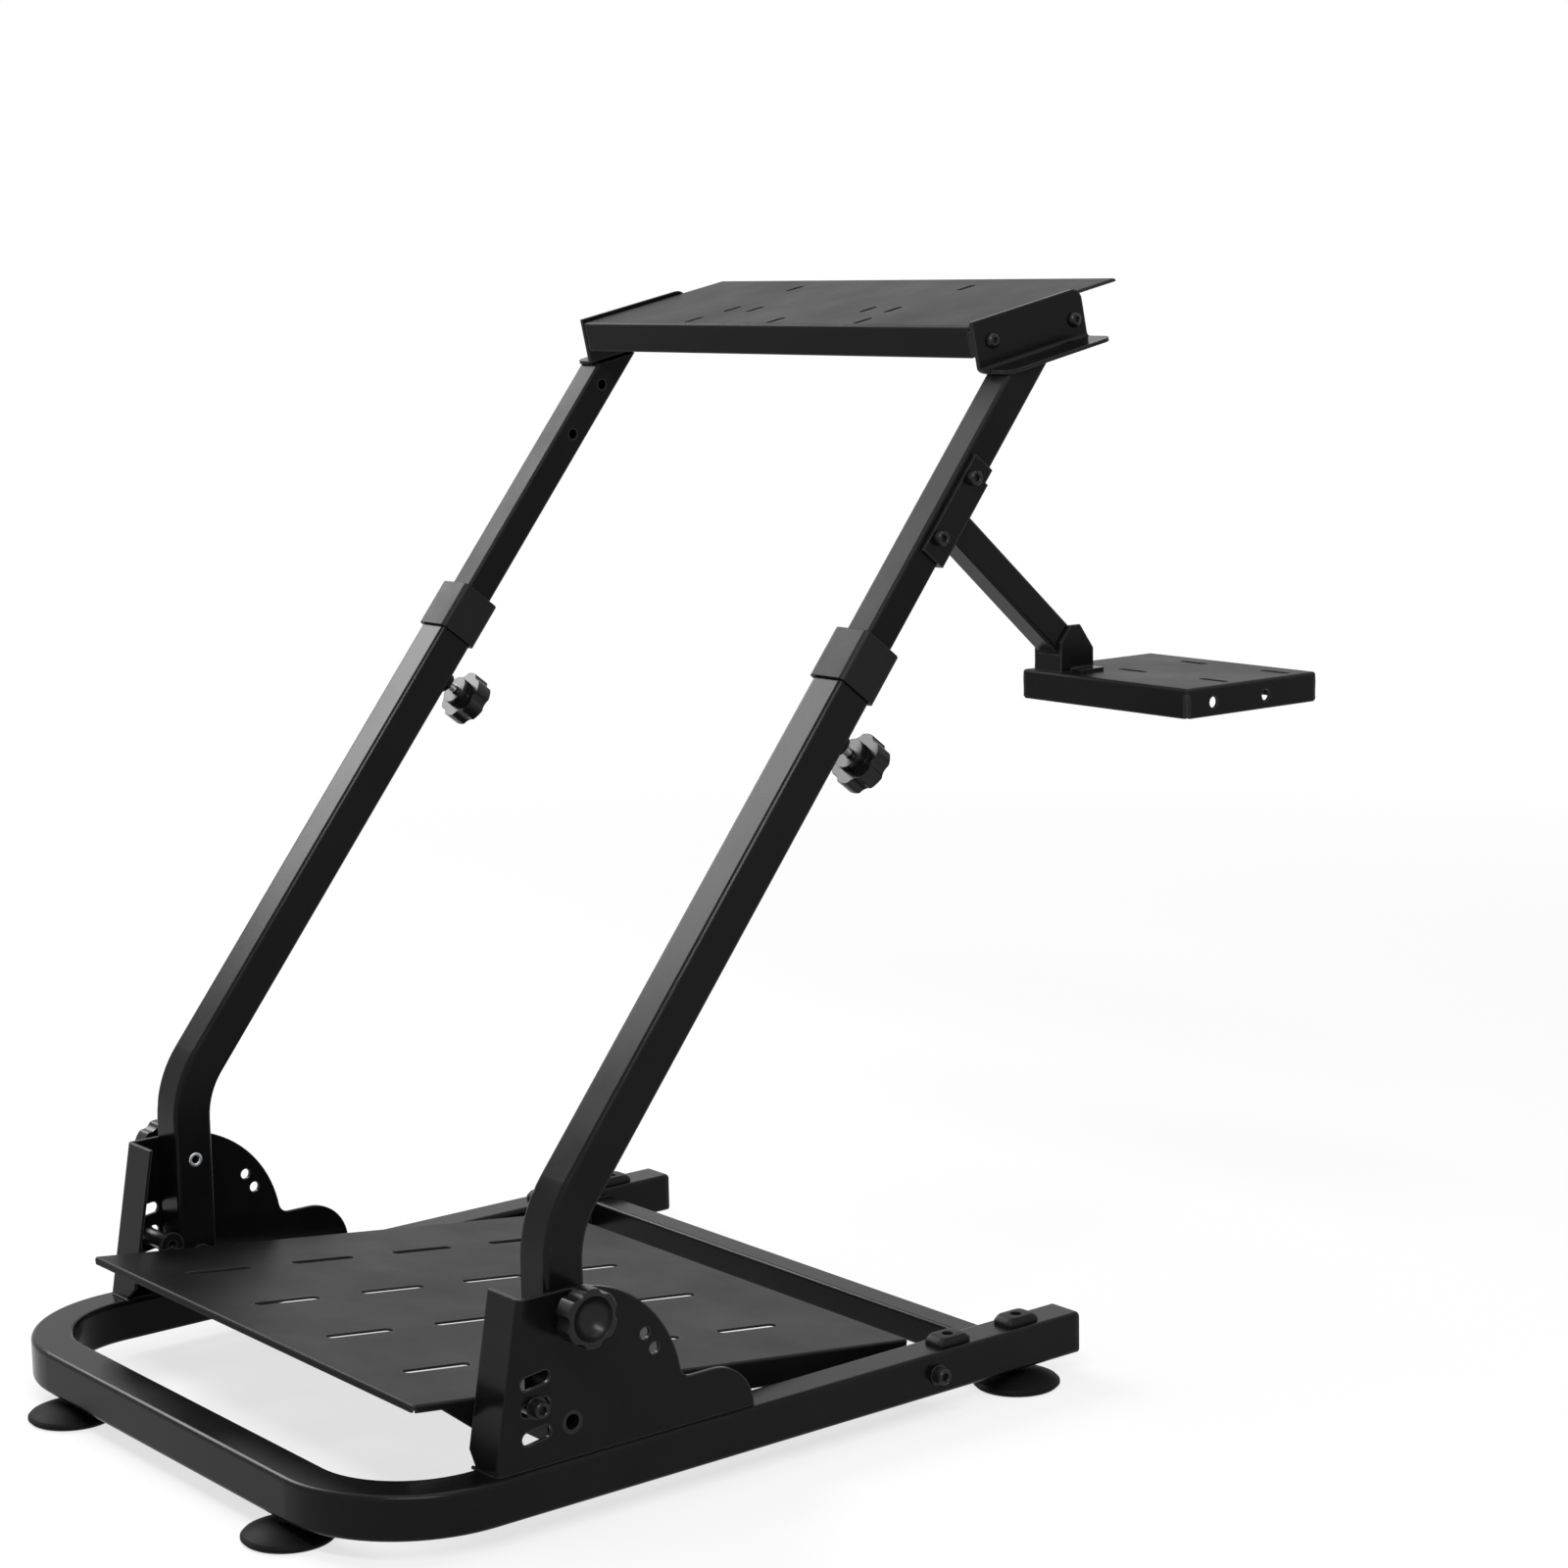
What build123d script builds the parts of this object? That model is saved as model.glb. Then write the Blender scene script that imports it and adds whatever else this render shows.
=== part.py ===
"""Folding racing wheel stand: floor frame, brackets, telescopic uprights and three mounting plates."""
import math
import os

from build123d import *

os.makedirs("parts", exist_ok=True)

# Square steel tube (mm)
TUBE = 35.0
TUBE_WALL = 1.5
TUBE_CORNER = 4.0
INNER_TUBE = 28.0
CROSS_TUBE = 25.0
INNER_CORNER = 3.0
SLIDE_GAP = 0.3
CORNER_GAP = 0.6
RUN_GAP = 0.05
JOINT_GAP = 0.5

# Floor frame
BASE_WIDTH = 600.0
BASE_LENGTH = 689.0
FRAME_BEND = 94.0
CROSS_INSET = 78.0
CROSS_LIFT = 3.0
CAP_THICK = 3.0
CAP_PLUG = 14.0

# Levelling feet
FOOT_HEIGHT = 18.0
FOOT_DIAMETER = 72.0
FOOT_DOME = 13.0
FOOT_RIM = 5.5
FOOT_RIM_ROUND = 2.0
FOOT_CROWN = (21.0, 10.6)
FOOT_FRONT_X = 171.0
FOOT_FRONT_Y = 13.0
FOOT_REAR_INSET = 53.0
STUD_DIAMETER = 8.0
NUT_ACROSS = 13.0
NUT_HEIGHT = 5.0

# Side brackets, heights from the top of the rail
SHEET = 3.0
BRACKET_INSET = 4.0
PIVOT_Y = 182.0
PIVOT_RISE = 27.5
DOME_RADIUS = 101.5
BRACKET_FOOT_Y = 115.0
BRACKET_TOP_Y = 138.0
BUMP_Y = 313.0
BUMP_RADIUS = 38.0
STEP_FILLET = 10.0
FLANGE_WIDTH = 40.0
SHEET_BEND = 4.5
LOCK_RADIUS = 85.5
LOCK_ANGLES = (11.7, 52.1, 62.6)
LOCK_HOLE = 9.0
PEDAL_SLOT_Y = 150.0
PEDAL_SLOT_RISES = (25.0, 46.0, 66.5)
PEDAL_SLOT_LENGTH = 26.0
PEDAL_SLOT_WIDTH = 10.0
PEDAL_SLOT_TURN = 8.0

# Pivot bush
BUSH_DIAMETER = 16.0
BUSH_BORE = 12.0
BUSH_HEAD = 22.0
BUSH_HEAD_THICK = 3.0

# Uprights, distances along the leaning part start at the bend point
LEAN = 52.0
BEND_HEIGHT = 227.0
UPRIGHT_BEND = 80.0
UPRIGHT_BELOW_PIVOT = 14.0
UPRIGHT_END = 484.0
COLLAR_START = 463.0
COLLAR_END = 507.0
COLLAR_WIDTH = 40.5
INNER_START = 235.0
INNER_HOLES = (682.0, 737.0)
INNER_HOLE = 9.0
HEIGHT_KNOB_AT = 428.0

# Star knobs
KNOB_RADIUS = 22.5
KNOB_THICK = 16.0
KNOB_HUB = 13.0
KNOB_HUB_LENGTH = 8.0
KNOB_CUP = 17.2
KNOB_CUP_DEPTH = 12.0
KNOB_SCALLOP = 9.0
KNOB_SCALLOP_AT = 29.0
KNOB_LOBE_ROUND = 2.5
KNOB_LOBES = 6
KNOB_EDGE = 1.2
HEIGHT_KNOB_STANDOFF = 18.0
LOCK_KNOB_STANDOFF = 6.0
BOSS_DIAMETER = 18.0
BOSS_LENGTH = 8.0

# Wheel plate and its brackets, in the tilted frame of the plate
PLATE_FRONT_Y = 616.0
PLATE_RISE = 637.0
PLATE_TILT = 12.0
PLATE_DEPTH = 165.0
PLATE_FLANGE = 26.0
PLATE_SHEET = 2.5
WEB_LENGTH = 120.0
WEB_HEIGHT = 40.0
WEB_PROUD = 3.0
WEB_FLANGE_START = 6.0
WEB_CORNER = 10.0
WEB_BEND = 3.0
WEB_FLANGE_SPARE = 2.0
TILT_PIVOT = (18.0, 16.0)
TILT_LOCK = (108.0, 21.0)
TILT_RANGE = 7.0
TILT_BOLT = 6.0
BOLT_HEAD = 12.5
BOLT_HEAD_THICK = 4.0
PLATE_SLOT_LENGTH = 20.0
PLATE_SLOT_WIDTH = 7.0
PLATE_SLOTS = (
    (-114.0, 15.0), (0.0, 15.0), (114.0, 15.0),
    (-108.0, 54.0), (-76.0, 54.0), (76.0, 54.0), (108.0, 54.0),
    (-114.0, 132.0), (114.0, 132.0),
)

# Shifter mount
SADDLE_START = 588.0
SADDLE_END = 678.0
SADDLE_WEB_END = 666.0
SADDLE_WRAP = 22.0
SADDLE_BOLTS = (604.5, 661.0)
SADDLE_BOLT = 7.0
ARM_TUBE = 25.0
ARM_AT = 626.0
ARM_FALL = 41.7
SHIFTER_X = (246.0, 432.0)
SHIFTER_Y = (683.0, 830.0)
SHIFTER_RISE = 358.5
SHIFTER_FLANGE = 23.5
SHIFTER_SLOT_SPACING_X = 90.0
SHIFTER_SLOT_SPACING_Y = 70.0
SHIFTER_SLOT_LENGTH = 30.0
SHIFTER_SLOT_WIDTH = 7.0
SHIFTER_SLOT_OFFSET = (25.0, 15.0)
GUSSET_INSET = 1.5
GUSSET_FRONT = 25.0
GUSSET_TALL = 38.0
GUSSET_REAR = 18.0
GUSSET_DEEP = 35.5
GUSSET_TOP = (11.0, 21.0)
GUSSET_FOOT = 12.0

# Pedal plate, along its slope from the rear bolts towards the front
PEDAL_BOLT_INSET = 154.0
PEDAL_BOLT_RISE = 17.5
PEDAL_SLOPE = 6.8
PEDAL_SIDE_GAP = 19.0
PEDAL_REAR = 14.0
PEDAL_NOSE = 73.1895
PEDAL_TOP = 14.5
PEDAL_FLANGE = 23.0
PEDAL_LIP = 6.0
PEDAL_LIP_LENGTH = 53.0
PEDAL_LIP_TAPER = 28.0
EAR_RADIUS = 11.0
EAR_DEEP = 17.0
PEDAL_SHEET = 2.0
PEDAL_BOLT = 8.0
SPACER_DIAMETER = 14.0
PEDAL_SLOT_ROWS = (90.0, 190.0, 290.0, 390.0)
PEDAL_SLOT_COLUMNS = (-165.0, -55.0, 55.0, 165.0)
PEDAL_OPENING_LENGTH = 60.0
PEDAL_OPENING_WIDTH = 9.0

# Values that follow from the sizes above
CUT_REACH = 4 * BASE_WIDTH
RAIL_X = (BASE_WIDTH - TUBE) / 2
RAIL_INNER = BASE_WIDTH / 2 - TUBE
CROSS_Y = BASE_LENGTH - CROSS_INSET
FOOT_REAR_Y = BASE_LENGTH - FOOT_REAR_INSET
PEDAL_BOLT_Y = BASE_LENGTH - PEDAL_BOLT_INSET
PEDAL_HALF_WIDTH = RAIL_INNER - PEDAL_SIDE_GAP
RAIL_MID = FOOT_HEIGHT + TUBE / 2
RAIL_TOP = FOOT_HEIGHT + TUBE
BRACKET_X = BASE_WIDTH / 2 - BRACKET_INSET
BRACKET_INNER = BRACKET_X - SHEET
UPRIGHT_X = BRACKET_INNER - JOINT_GAP - TUBE / 2
PIVOT_Z = RAIL_TOP + PIVOT_RISE
BRACKET_TALL = PIVOT_RISE + DOME_RADIUS
CAVITY = TUBE - 2 * TUBE_WALL
LEAN_COS = math.cos(math.radians(LEAN))
LEAN_SIN = math.sin(math.radians(LEAN))
WEB_OUTER = UPRIGHT_X - INNER_TUBE / 2 + SHEET
WEB_INNER = WEB_OUTER - SHEET
PLATE_HALF = WEB_INNER - SLIDE_GAP
FRONT_BOLT_RISE = PEDAL_SLOT_RISES[1] + TUBE - PEDAL_BOLT_RISE
SLOPE_COS = math.cos(math.radians(PEDAL_SLOPE))
SLOPE_SIN = math.sin(math.radians(PEDAL_SLOPE))
FRONT_BOLT_ALONG = (PEDAL_BOLT_Y - PEDAL_SLOT_Y) * SLOPE_COS + FRONT_BOLT_RISE * SLOPE_SIN
FRONT_BOLT_UP = FRONT_BOLT_RISE * SLOPE_COS - (PEDAL_BOLT_Y - PEDAL_SLOT_Y) * SLOPE_SIN
EAR_OUTER = PEDAL_HALF_WIDTH + SHEET
PEDAL_FRONT = FRONT_BOLT_ALONG + PEDAL_NOSE
PEDAL_LIP_START = PEDAL_FRONT - PEDAL_LIP_LENGTH
PLATE_FRONT_Z = BEND_HEIGHT + PLATE_RISE
SHIFTER_TOP = BEND_HEIGHT + SHIFTER_RISE


def tube_face(size, wall, corner=TUBE_CORNER):
    """Section of a square tube with rounded corners."""
    outer = RectangleRounded(size, size, corner)
    return outer - RectangleRounded(size - 2 * wall, size - 2 * wall, corner - wall)


def lean_plane(along, offset=0.0, x=0.0):
    """Plane across the leaning part: its normal runs up the tube, its local y points to the front face."""
    origin = (
        x,
        PIVOT_Y + along * LEAN_COS - offset * LEAN_SIN,
        BEND_HEIGHT + along * LEAN_SIN + offset * LEAN_COS,
    )
    return Plane(origin=origin, x_dir=(-1, 0, 0), z_dir=(0, LEAN_COS, LEAN_SIN))


def cross_pin(diameter, x_from, x_to, y, z):
    """Cylinder along X between two positions."""
    middle = Pos((x_from + x_to) / 2, y, z) * Rot(0, 90, 0)
    return middle * Cylinder(diameter / 2, abs(x_to - x_from))


def mirrored(shape):
    """The same piece on the other side of the stand."""
    return mirror(shape, about=Plane.YZ)


def tray(width, depth, height, sheet):
    """Sheet tray with down-turned flanges, front edge on y = 0, top face on z = 0."""
    outer = Pos(0, depth / 2, -height / 2) * Box(width, depth, height)
    outer = fillet(outer.edges().filter_by(Axis.Z), sheet)
    outer = fillet(outer.faces().sort_by(Axis.Z)[-1].edges(), sheet)
    inner = Pos(0, depth / 2, -height / 2 - sheet) * Box(width - 2 * sheet, depth - 2 * sheet, height)
    notch_size = 2 * sheet + 2 * CORNER_GAP
    notch = Box(notch_size, notch_size, height)
    shell = outer - inner
    for corner_x in (-width / 2, width / 2):
        for corner_y in (0, depth):
            shell -= Pos(corner_x, corner_y, -height / 2 - 2 * sheet) * notch
    return shell


def star_knob():
    """Six-lobed knob with a cupped face: its hub starts at z = 0 and its face looks up."""
    scallops = PolarLocations(KNOB_SCALLOP_AT, KNOB_LOBES) * Circle(KNOB_SCALLOP)
    outline = Circle(KNOB_RADIUS) - scallops
    outline = fillet(outline.vertices(), KNOB_LOBE_ROUND)
    head = extrude(outline, KNOB_THICK)
    head = fillet(head.faces().sort_by(Axis.Z)[-1].outer_wire().edges(), KNOB_EDGE)
    head = Pos(0, 0, KNOB_HUB_LENGTH) * head
    hub = Pos(0, 0, KNOB_HUB_LENGTH / 2) * Cylinder(KNOB_HUB, KNOB_HUB_LENGTH)
    cup_radius = (KNOB_CUP ** 2 + KNOB_CUP_DEPTH ** 2) / (2 * KNOB_CUP_DEPTH)
    cup = Pos(0, 0, KNOB_HUB_LENGTH + KNOB_THICK - KNOB_CUP_DEPTH + cup_radius) * Sphere(cup_radius)
    return head + hub - cup


def levelling_foot(x, y):
    """Domed disc with a rolled rim, its stud and the nut under the rail."""
    radius = FOOT_DIAMETER / 2
    rim_radius = radius - FOOT_RIM_ROUND
    rim = Polyline(
        (NUT_ACROSS / 2, FOOT_DOME), (0, FOOT_DOME), (0, 0), (rim_radius, 0), (radius, FOOT_RIM_ROUND),
        (radius, FOOT_RIM - FOOT_RIM_ROUND), (rim_radius, FOOT_RIM))
    dome = ThreePointArc((rim_radius, FOOT_RIM), FOOT_CROWN, (NUT_ACROSS / 2, FOOT_DOME))
    profile = make_face(rim + dome)
    disc = revolve(Plane.XZ * profile, Axis.Z)
    nut = extrude(RegularPolygon(NUT_ACROSS / 2, 6, major_radius=False), NUT_HEIGHT)
    nut = Pos(0, 0, FOOT_HEIGHT - NUT_HEIGHT) * nut
    stud_top = FOOT_HEIGHT + TUBE - 6.0
    stud = Pos(0, 0, stud_top / 2) * Cylinder(STUD_DIAMETER / 2, stud_top)
    return Pos(x, y, 0) * (disc + nut + stud)


# Floor frame: one tube bent to a U, open to the rear
frame_path = FilletPolyline(
    (-RAIL_X, BASE_LENGTH, RAIL_MID), (-RAIL_X, TUBE / 2, RAIL_MID),
    (RAIL_X, TUBE / 2, RAIL_MID), (RAIL_X, BASE_LENGTH, RAIL_MID), radius=FRAME_BEND)
frame_start = Plane(origin=(-RAIL_X, BASE_LENGTH, RAIL_MID), x_dir=(1, 0, 0), z_dir=(0, -1, 0))
base_frame = sweep(frame_start * tube_face(TUBE, TUBE_WALL), path=frame_path)
feet_at = [
    ("front_left", -FOOT_FRONT_X, FOOT_FRONT_Y), ("front_right", FOOT_FRONT_X, FOOT_FRONT_Y),
    ("rear_left", -RAIL_X, FOOT_REAR_Y), ("rear_right", RAIL_X, FOOT_REAR_Y),
]
for _, foot_x, foot_y in feet_at:
    stud_hole = Cylinder(STUD_DIAMETER / 2 + RUN_GAP, 4 * TUBE_WALL)
    base_frame -= Pos(foot_x, foot_y, FOOT_HEIGHT) * stud_hole
rear_bolt_z = FOOT_HEIGHT + PEDAL_BOLT_RISE
base_frame -= cross_pin(PEDAL_BOLT, -BASE_WIDTH, BASE_WIDTH, PEDAL_BOLT_Y, rear_bolt_z)

# Cross bar between the rails
cross_mid = FOOT_HEIGHT + CROSS_LIFT + CROSS_TUBE / 2
cross_plane = Plane(origin=(-RAIL_INNER, CROSS_Y, cross_mid), x_dir=(0, 1, 0), z_dir=(1, 0, 0))
cross_bar = extrude(cross_plane * tube_face(CROSS_TUBE, TUBE_WALL, INNER_CORNER), 2 * RAIL_INNER)

# End cap of a rail
cap_plane = Plane(origin=(RAIL_X, BASE_LENGTH, RAIL_MID), x_dir=(1, 0, 0), z_dir=(0, 1, 0))
cap_face = extrude(cap_plane * RectangleRounded(TUBE, TUBE, TUBE_CORNER), CAP_THICK)
cap_face = fillet(cap_face.faces().sort_by(Axis.Y)[-1].edges(), 1.5)
plug_size = CAVITY - 2 * RUN_GAP
plug = extrude(cap_plane * RectangleRounded(plug_size, plug_size, TUBE_CORNER - TUBE_WALL), -CAP_PLUG)
end_cap = cap_face + plug

# Side bracket: dome about the pivot, lock holes on an arc, three slots, flange at the front
bracket_plane = Plane(origin=(BRACKET_INNER, 0, RAIL_TOP), x_dir=(0, 1, 0), z_dir=(1, 0, 0))
front_face = make_face(Polyline(
    (BRACKET_FOOT_Y, 0), (BRACKET_TOP_Y, BRACKET_TALL), (PIVOT_Y, BRACKET_TALL), (PIVOT_Y, 0),
    (BRACKET_FOOT_Y, 0)))
reach = 2 * DOME_RADIUS
rear_half = Pos(PIVOT_Y + reach / 2, reach / 2) * Rectangle(reach, reach)
dome = (Pos(PIVOT_Y, PIVOT_RISE) * Circle(DOME_RADIUS)) & rear_half
step = Pos((PIVOT_Y + BUMP_Y) / 2, BUMP_RADIUS / 2) * Rectangle(BUMP_Y - PIVOT_Y, BUMP_RADIUS)
bump_half = Pos(BUMP_Y + BUMP_RADIUS / 2, BUMP_RADIUS / 2) * Rectangle(BUMP_RADIUS, BUMP_RADIUS)
bump = (Pos(BUMP_Y, 0) * Circle(BUMP_RADIUS)) & bump_half
outline = front_face + dome + step + bump
web = extrude(bracket_plane * outline, SHEET)
lean_run = SHEET * math.hypot(1, (BRACKET_TOP_Y - BRACKET_FOOT_Y) / BRACKET_TALL)
flange_face = make_face(Polyline(
    (BRACKET_FOOT_Y, 0), (BRACKET_TOP_Y, BRACKET_TALL), (BRACKET_TOP_Y + lean_run, BRACKET_TALL),
    (BRACKET_FOOT_Y + lean_run, 0), (BRACKET_FOOT_Y, 0)))
flange = extrude(bracket_plane * flange_face, SHEET - FLANGE_WIDTH)
bracket = web + flange
step_y = PIVOT_Y + math.sqrt(DOME_RADIUS ** 2 - (BUMP_RADIUS - PIVOT_RISE) ** 2)
step_point = Vector(BRACKET_X, step_y, RAIL_TOP + BUMP_RADIUS)
step_edges = bracket.edges().filter_by(Axis.X).sort_by(lambda e: (e.center() - step_point).length)
bracket = fillet(step_edges[0], STEP_FILLET)
bend_mid = Vector(BRACKET_X, (BRACKET_FOOT_Y + BRACKET_TOP_Y) / 2, RAIL_TOP + BRACKET_TALL / 2)
bend_edges = bracket.edges().sort_by(lambda e: (e.center() - bend_mid).length)
bracket = fillet(bend_edges[0], SHEET_BEND)
corner_cut = make_face(Polyline((0, 0), (12, 0), (0, 12), (0, 0)))
corner_plane = Plane(
    origin=(BRACKET_X - FLANGE_WIDTH, BRACKET_TOP_Y, RAIL_TOP), x_dir=(1, 0, 0), z_dir=(0, -1, 0))
bracket -= extrude(corner_plane * corner_cut, 2 * BRACKET_TOP_Y, both=True)
bracket_holes = Pos(PIVOT_Y, PIVOT_RISE) * Circle(BUSH_DIAMETER / 2)
bracket_holes += Pos(PIVOT_Y, PIVOT_RISE + LOCK_RADIUS) * Circle(STUD_DIAMETER / 2 + RUN_GAP)
for angle in LOCK_ANGLES:
    lock_y = PIVOT_Y + LOCK_RADIUS * math.sin(math.radians(angle))
    lock_rise = PIVOT_RISE + LOCK_RADIUS * math.cos(math.radians(angle))
    bracket_holes += Pos(lock_y, lock_rise) * Circle(LOCK_HOLE / 2)
for rise in PEDAL_SLOT_RISES:
    slot_turn = Pos(PEDAL_SLOT_Y, rise) * Rot(0, 0, PEDAL_SLOT_TURN)
    bracket_holes += slot_turn * SlotOverall(PEDAL_SLOT_LENGTH, PEDAL_SLOT_WIDTH)
bracket -= extrude(bracket_plane * bracket_holes, SHEET)

# Pivot bush: hollow pin through the bracket and the foot of the upright
bush_end = UPRIGHT_X - TUBE / 2 - JOINT_GAP
pivot_bush = cross_pin(BUSH_DIAMETER, bush_end, BRACKET_X, PIVOT_Y, PIVOT_Z)
pivot_bush += cross_pin(BUSH_HEAD, bush_end - BUSH_HEAD_THICK, bush_end, PIVOT_Y, PIVOT_Z)
pivot_bush -= cross_pin(BUSH_BORE, bush_end, BRACKET_X, PIVOT_Y, PIVOT_Z)

# Upright: bent tube that turns on the bush
upright_path = FilletPolyline(
    (UPRIGHT_X, PIVOT_Y, PIVOT_Z - UPRIGHT_BELOW_PIVOT), (UPRIGHT_X, PIVOT_Y, BEND_HEIGHT),
    lean_plane(UPRIGHT_END, 0, UPRIGHT_X).origin, radius=UPRIGHT_BEND)
upright_start = Plane(origin=(UPRIGHT_X, PIVOT_Y, PIVOT_Z - UPRIGHT_BELOW_PIVOT))
upright = sweep(upright_start * tube_face(TUBE, TUBE_WALL), path=upright_path)
upright -= cross_pin(BUSH_DIAMETER + 2 * RUN_GAP, 0, BASE_WIDTH, PIVOT_Y, PIVOT_Z)
upright -= cross_pin(LOCK_HOLE, 0, BASE_WIDTH, PIVOT_Y, PIVOT_Z + LOCK_RADIUS)
knob_axis = lean_plane(HEIGHT_KNOB_AT, -TUBE / 2, UPRIGHT_X)
knob_plane = Plane(origin=knob_axis.origin, x_dir=(1, 0, 0), z_dir=(0, LEAN_SIN, -LEAN_COS))
stud_bore = Cylinder(STUD_DIAMETER / 2 + RUN_GAP, 4 * TUBE_WALL)
upright -= knob_plane.location * stud_bore

# Collar on the head of the upright
collar_at = lean_plane(COLLAR_START, 0, UPRIGHT_X)
collar = extrude(collar_at * RectangleRounded(COLLAR_WIDTH, COLLAR_WIDTH, 5.0), COLLAR_END - COLLAR_START)
collar = fillet(collar.edges().filter_by(GeomType.LINE).group_by(Axis.Z)[-1], 1.0)
collar -= extrude(collar_at * RectangleRounded(TUBE, TUBE, TUBE_CORNER), UPRIGHT_END - COLLAR_START)
collar_bore = INNER_TUBE + 2 * SLIDE_GAP
bore_face = RectangleRounded(collar_bore, collar_bore, INNER_CORNER)
collar -= extrude(collar_at * bore_face, COLLAR_END - COLLAR_START)

# Height knob with its stud, screwed into a boss on the rear face
boss = extrude(knob_plane * Circle(BOSS_DIAMETER / 2), BOSS_LENGTH)
boss -= extrude(knob_plane * Circle(STUD_DIAMETER / 2 + RUN_GAP), BOSS_LENGTH)
knob = star_knob()
height_knob = knob_plane.offset(HEIGHT_KNOB_STANDOFF).location * knob
height_stud_tip = (TUBE - INNER_TUBE) / 2 - JOINT_GAP
height_stud = extrude(
    knob_plane.offset(-height_stud_tip) * Circle(STUD_DIAMETER / 2), HEIGHT_KNOB_STANDOFF + height_stud_tip)

# Lock knob with its stud in the bracket, drawn back clear of the upright
lock_plane = Plane(
    origin=(BRACKET_X, PIVOT_Y, PIVOT_Z + LOCK_RADIUS), x_dir=(0, 1, 0), z_dir=(1, 0, 0))
lock_knob = lock_plane.offset(LOCK_KNOB_STANDOFF).location * knob
lock_stud = extrude(lock_plane.offset(-SHEET) * Circle(STUD_DIAMETER / 2), SHEET + LOCK_KNOB_STANDOFF)

# Frame of the tilted wheel plate
tilt_sin = math.sin(math.radians(PLATE_TILT))
tilt_cos = math.cos(math.radians(PLATE_TILT))
plate_plane = Plane(
    origin=(0, PLATE_FRONT_Y, PLATE_FRONT_Z), x_dir=(1, 0, 0), z_dir=(0, -tilt_sin, tilt_cos))
plate_place = plate_plane.location

# Bracket under the wheel plate: upright web with an outward flange on the head of the inner tube
flange_wide = INNER_TUBE + SHEET + WEB_FLANGE_SPARE
web_section = make_face(Polyline(
    (0, WEB_PROUD), (SHEET, WEB_PROUD), (SHEET, SHEET - WEB_HEIGHT), (flange_wide, SHEET - WEB_HEIGHT),
    (flange_wide, -WEB_HEIGHT), (0, -WEB_HEIGHT), (0, WEB_PROUD)))
bend_inside = web_section.vertices().sort_by_distance((SHEET, SHEET - WEB_HEIGHT, 0))[0]
web_section = fillet(bend_inside, WEB_BEND)
bend_outside = web_section.vertices().sort_by_distance((0, -WEB_HEIGHT, 0))[0]
web_section = fillet(bend_outside, WEB_BEND + SHEET)
section_plane = Plane(origin=(WEB_INNER, 0, 0), x_dir=(1, 0, 0), z_dir=(0, -1, 0))
plate_bracket = extrude(section_plane * web_section, -WEB_LENGTH)
side_view = make_face(Polyline(
    (0, WEB_PROUD), (WEB_LENGTH, WEB_PROUD), (WEB_LENGTH, -WEB_HEIGHT), (0, -WEB_HEIGHT), (0, WEB_PROUD)))
side_view = fillet(side_view.vertices().sort_by_distance((WEB_LENGTH, WEB_PROUD, 0))[0], WEB_CORNER)
side_view = fillet(side_view.vertices().sort_by_distance((0, -WEB_HEIGHT, 0))[0], WEB_FLANGE_START)
side_plane = Plane(origin=(WEB_INNER, 0, 0), x_dir=(0, 1, 0), z_dir=(1, 0, 0))
plate_bracket &= extrude(side_plane * side_view, flange_wide)
flange_front = Pos(WEB_OUTER + WEB_BEND + flange_wide / 2, 0, -WEB_HEIGHT) * Box(
    flange_wide, 2 * WEB_FLANGE_START, 2 * WEB_HEIGHT)
plate_bracket -= flange_front
flange_corners = plate_bracket.edges().filter_by(Axis.Z).group_by(Axis.X)[-1]
plate_bracket = fillet(flange_corners, WEB_CORNER)
for along, down in (TILT_PIVOT, TILT_LOCK):
    plate_bracket -= cross_pin(TILT_BOLT, 0, BASE_WIDTH, along, -down)
plate_bracket = plate_place * plate_bracket

# Tilt bolts: the front one is the pivot, the rear one clamps in a curved slot
tilt_bolts = []
for along, down in (TILT_PIVOT, TILT_LOCK):
    shank_end = PLATE_HALF - PLATE_SHEET - NUT_HEIGHT
    bolt = cross_pin(TILT_BOLT, shank_end, WEB_OUTER, along, -down)
    head = cross_pin(BOLT_HEAD, WEB_OUTER, WEB_OUTER + BOLT_HEAD_THICK, along, -down)
    head = fillet(head.faces().sort_by(Axis.X)[-1].edges(), 2.0)
    tilt_bolts.append(plate_place * (bolt + head))

# Inner tube, mitred under the flange of its plate bracket
inner_at = lean_plane(INNER_START, 0, UPRIGHT_X)
inner_tube = extrude(inner_at * tube_face(INNER_TUBE, TUBE_WALL, INNER_CORNER), CUT_REACH / 2)
above_flange = Pos(0, 0, CUT_REACH / 2 - WEB_HEIGHT) * Box(CUT_REACH, CUT_REACH, CUT_REACH)
inner_tube -= plate_place * above_flange
for along in INNER_HOLES:
    hole_at = lean_plane(along).origin
    inner_tube -= cross_pin(INNER_HOLE, 0, UPRIGHT_X, hole_at.Y, hole_at.Z)

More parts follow.
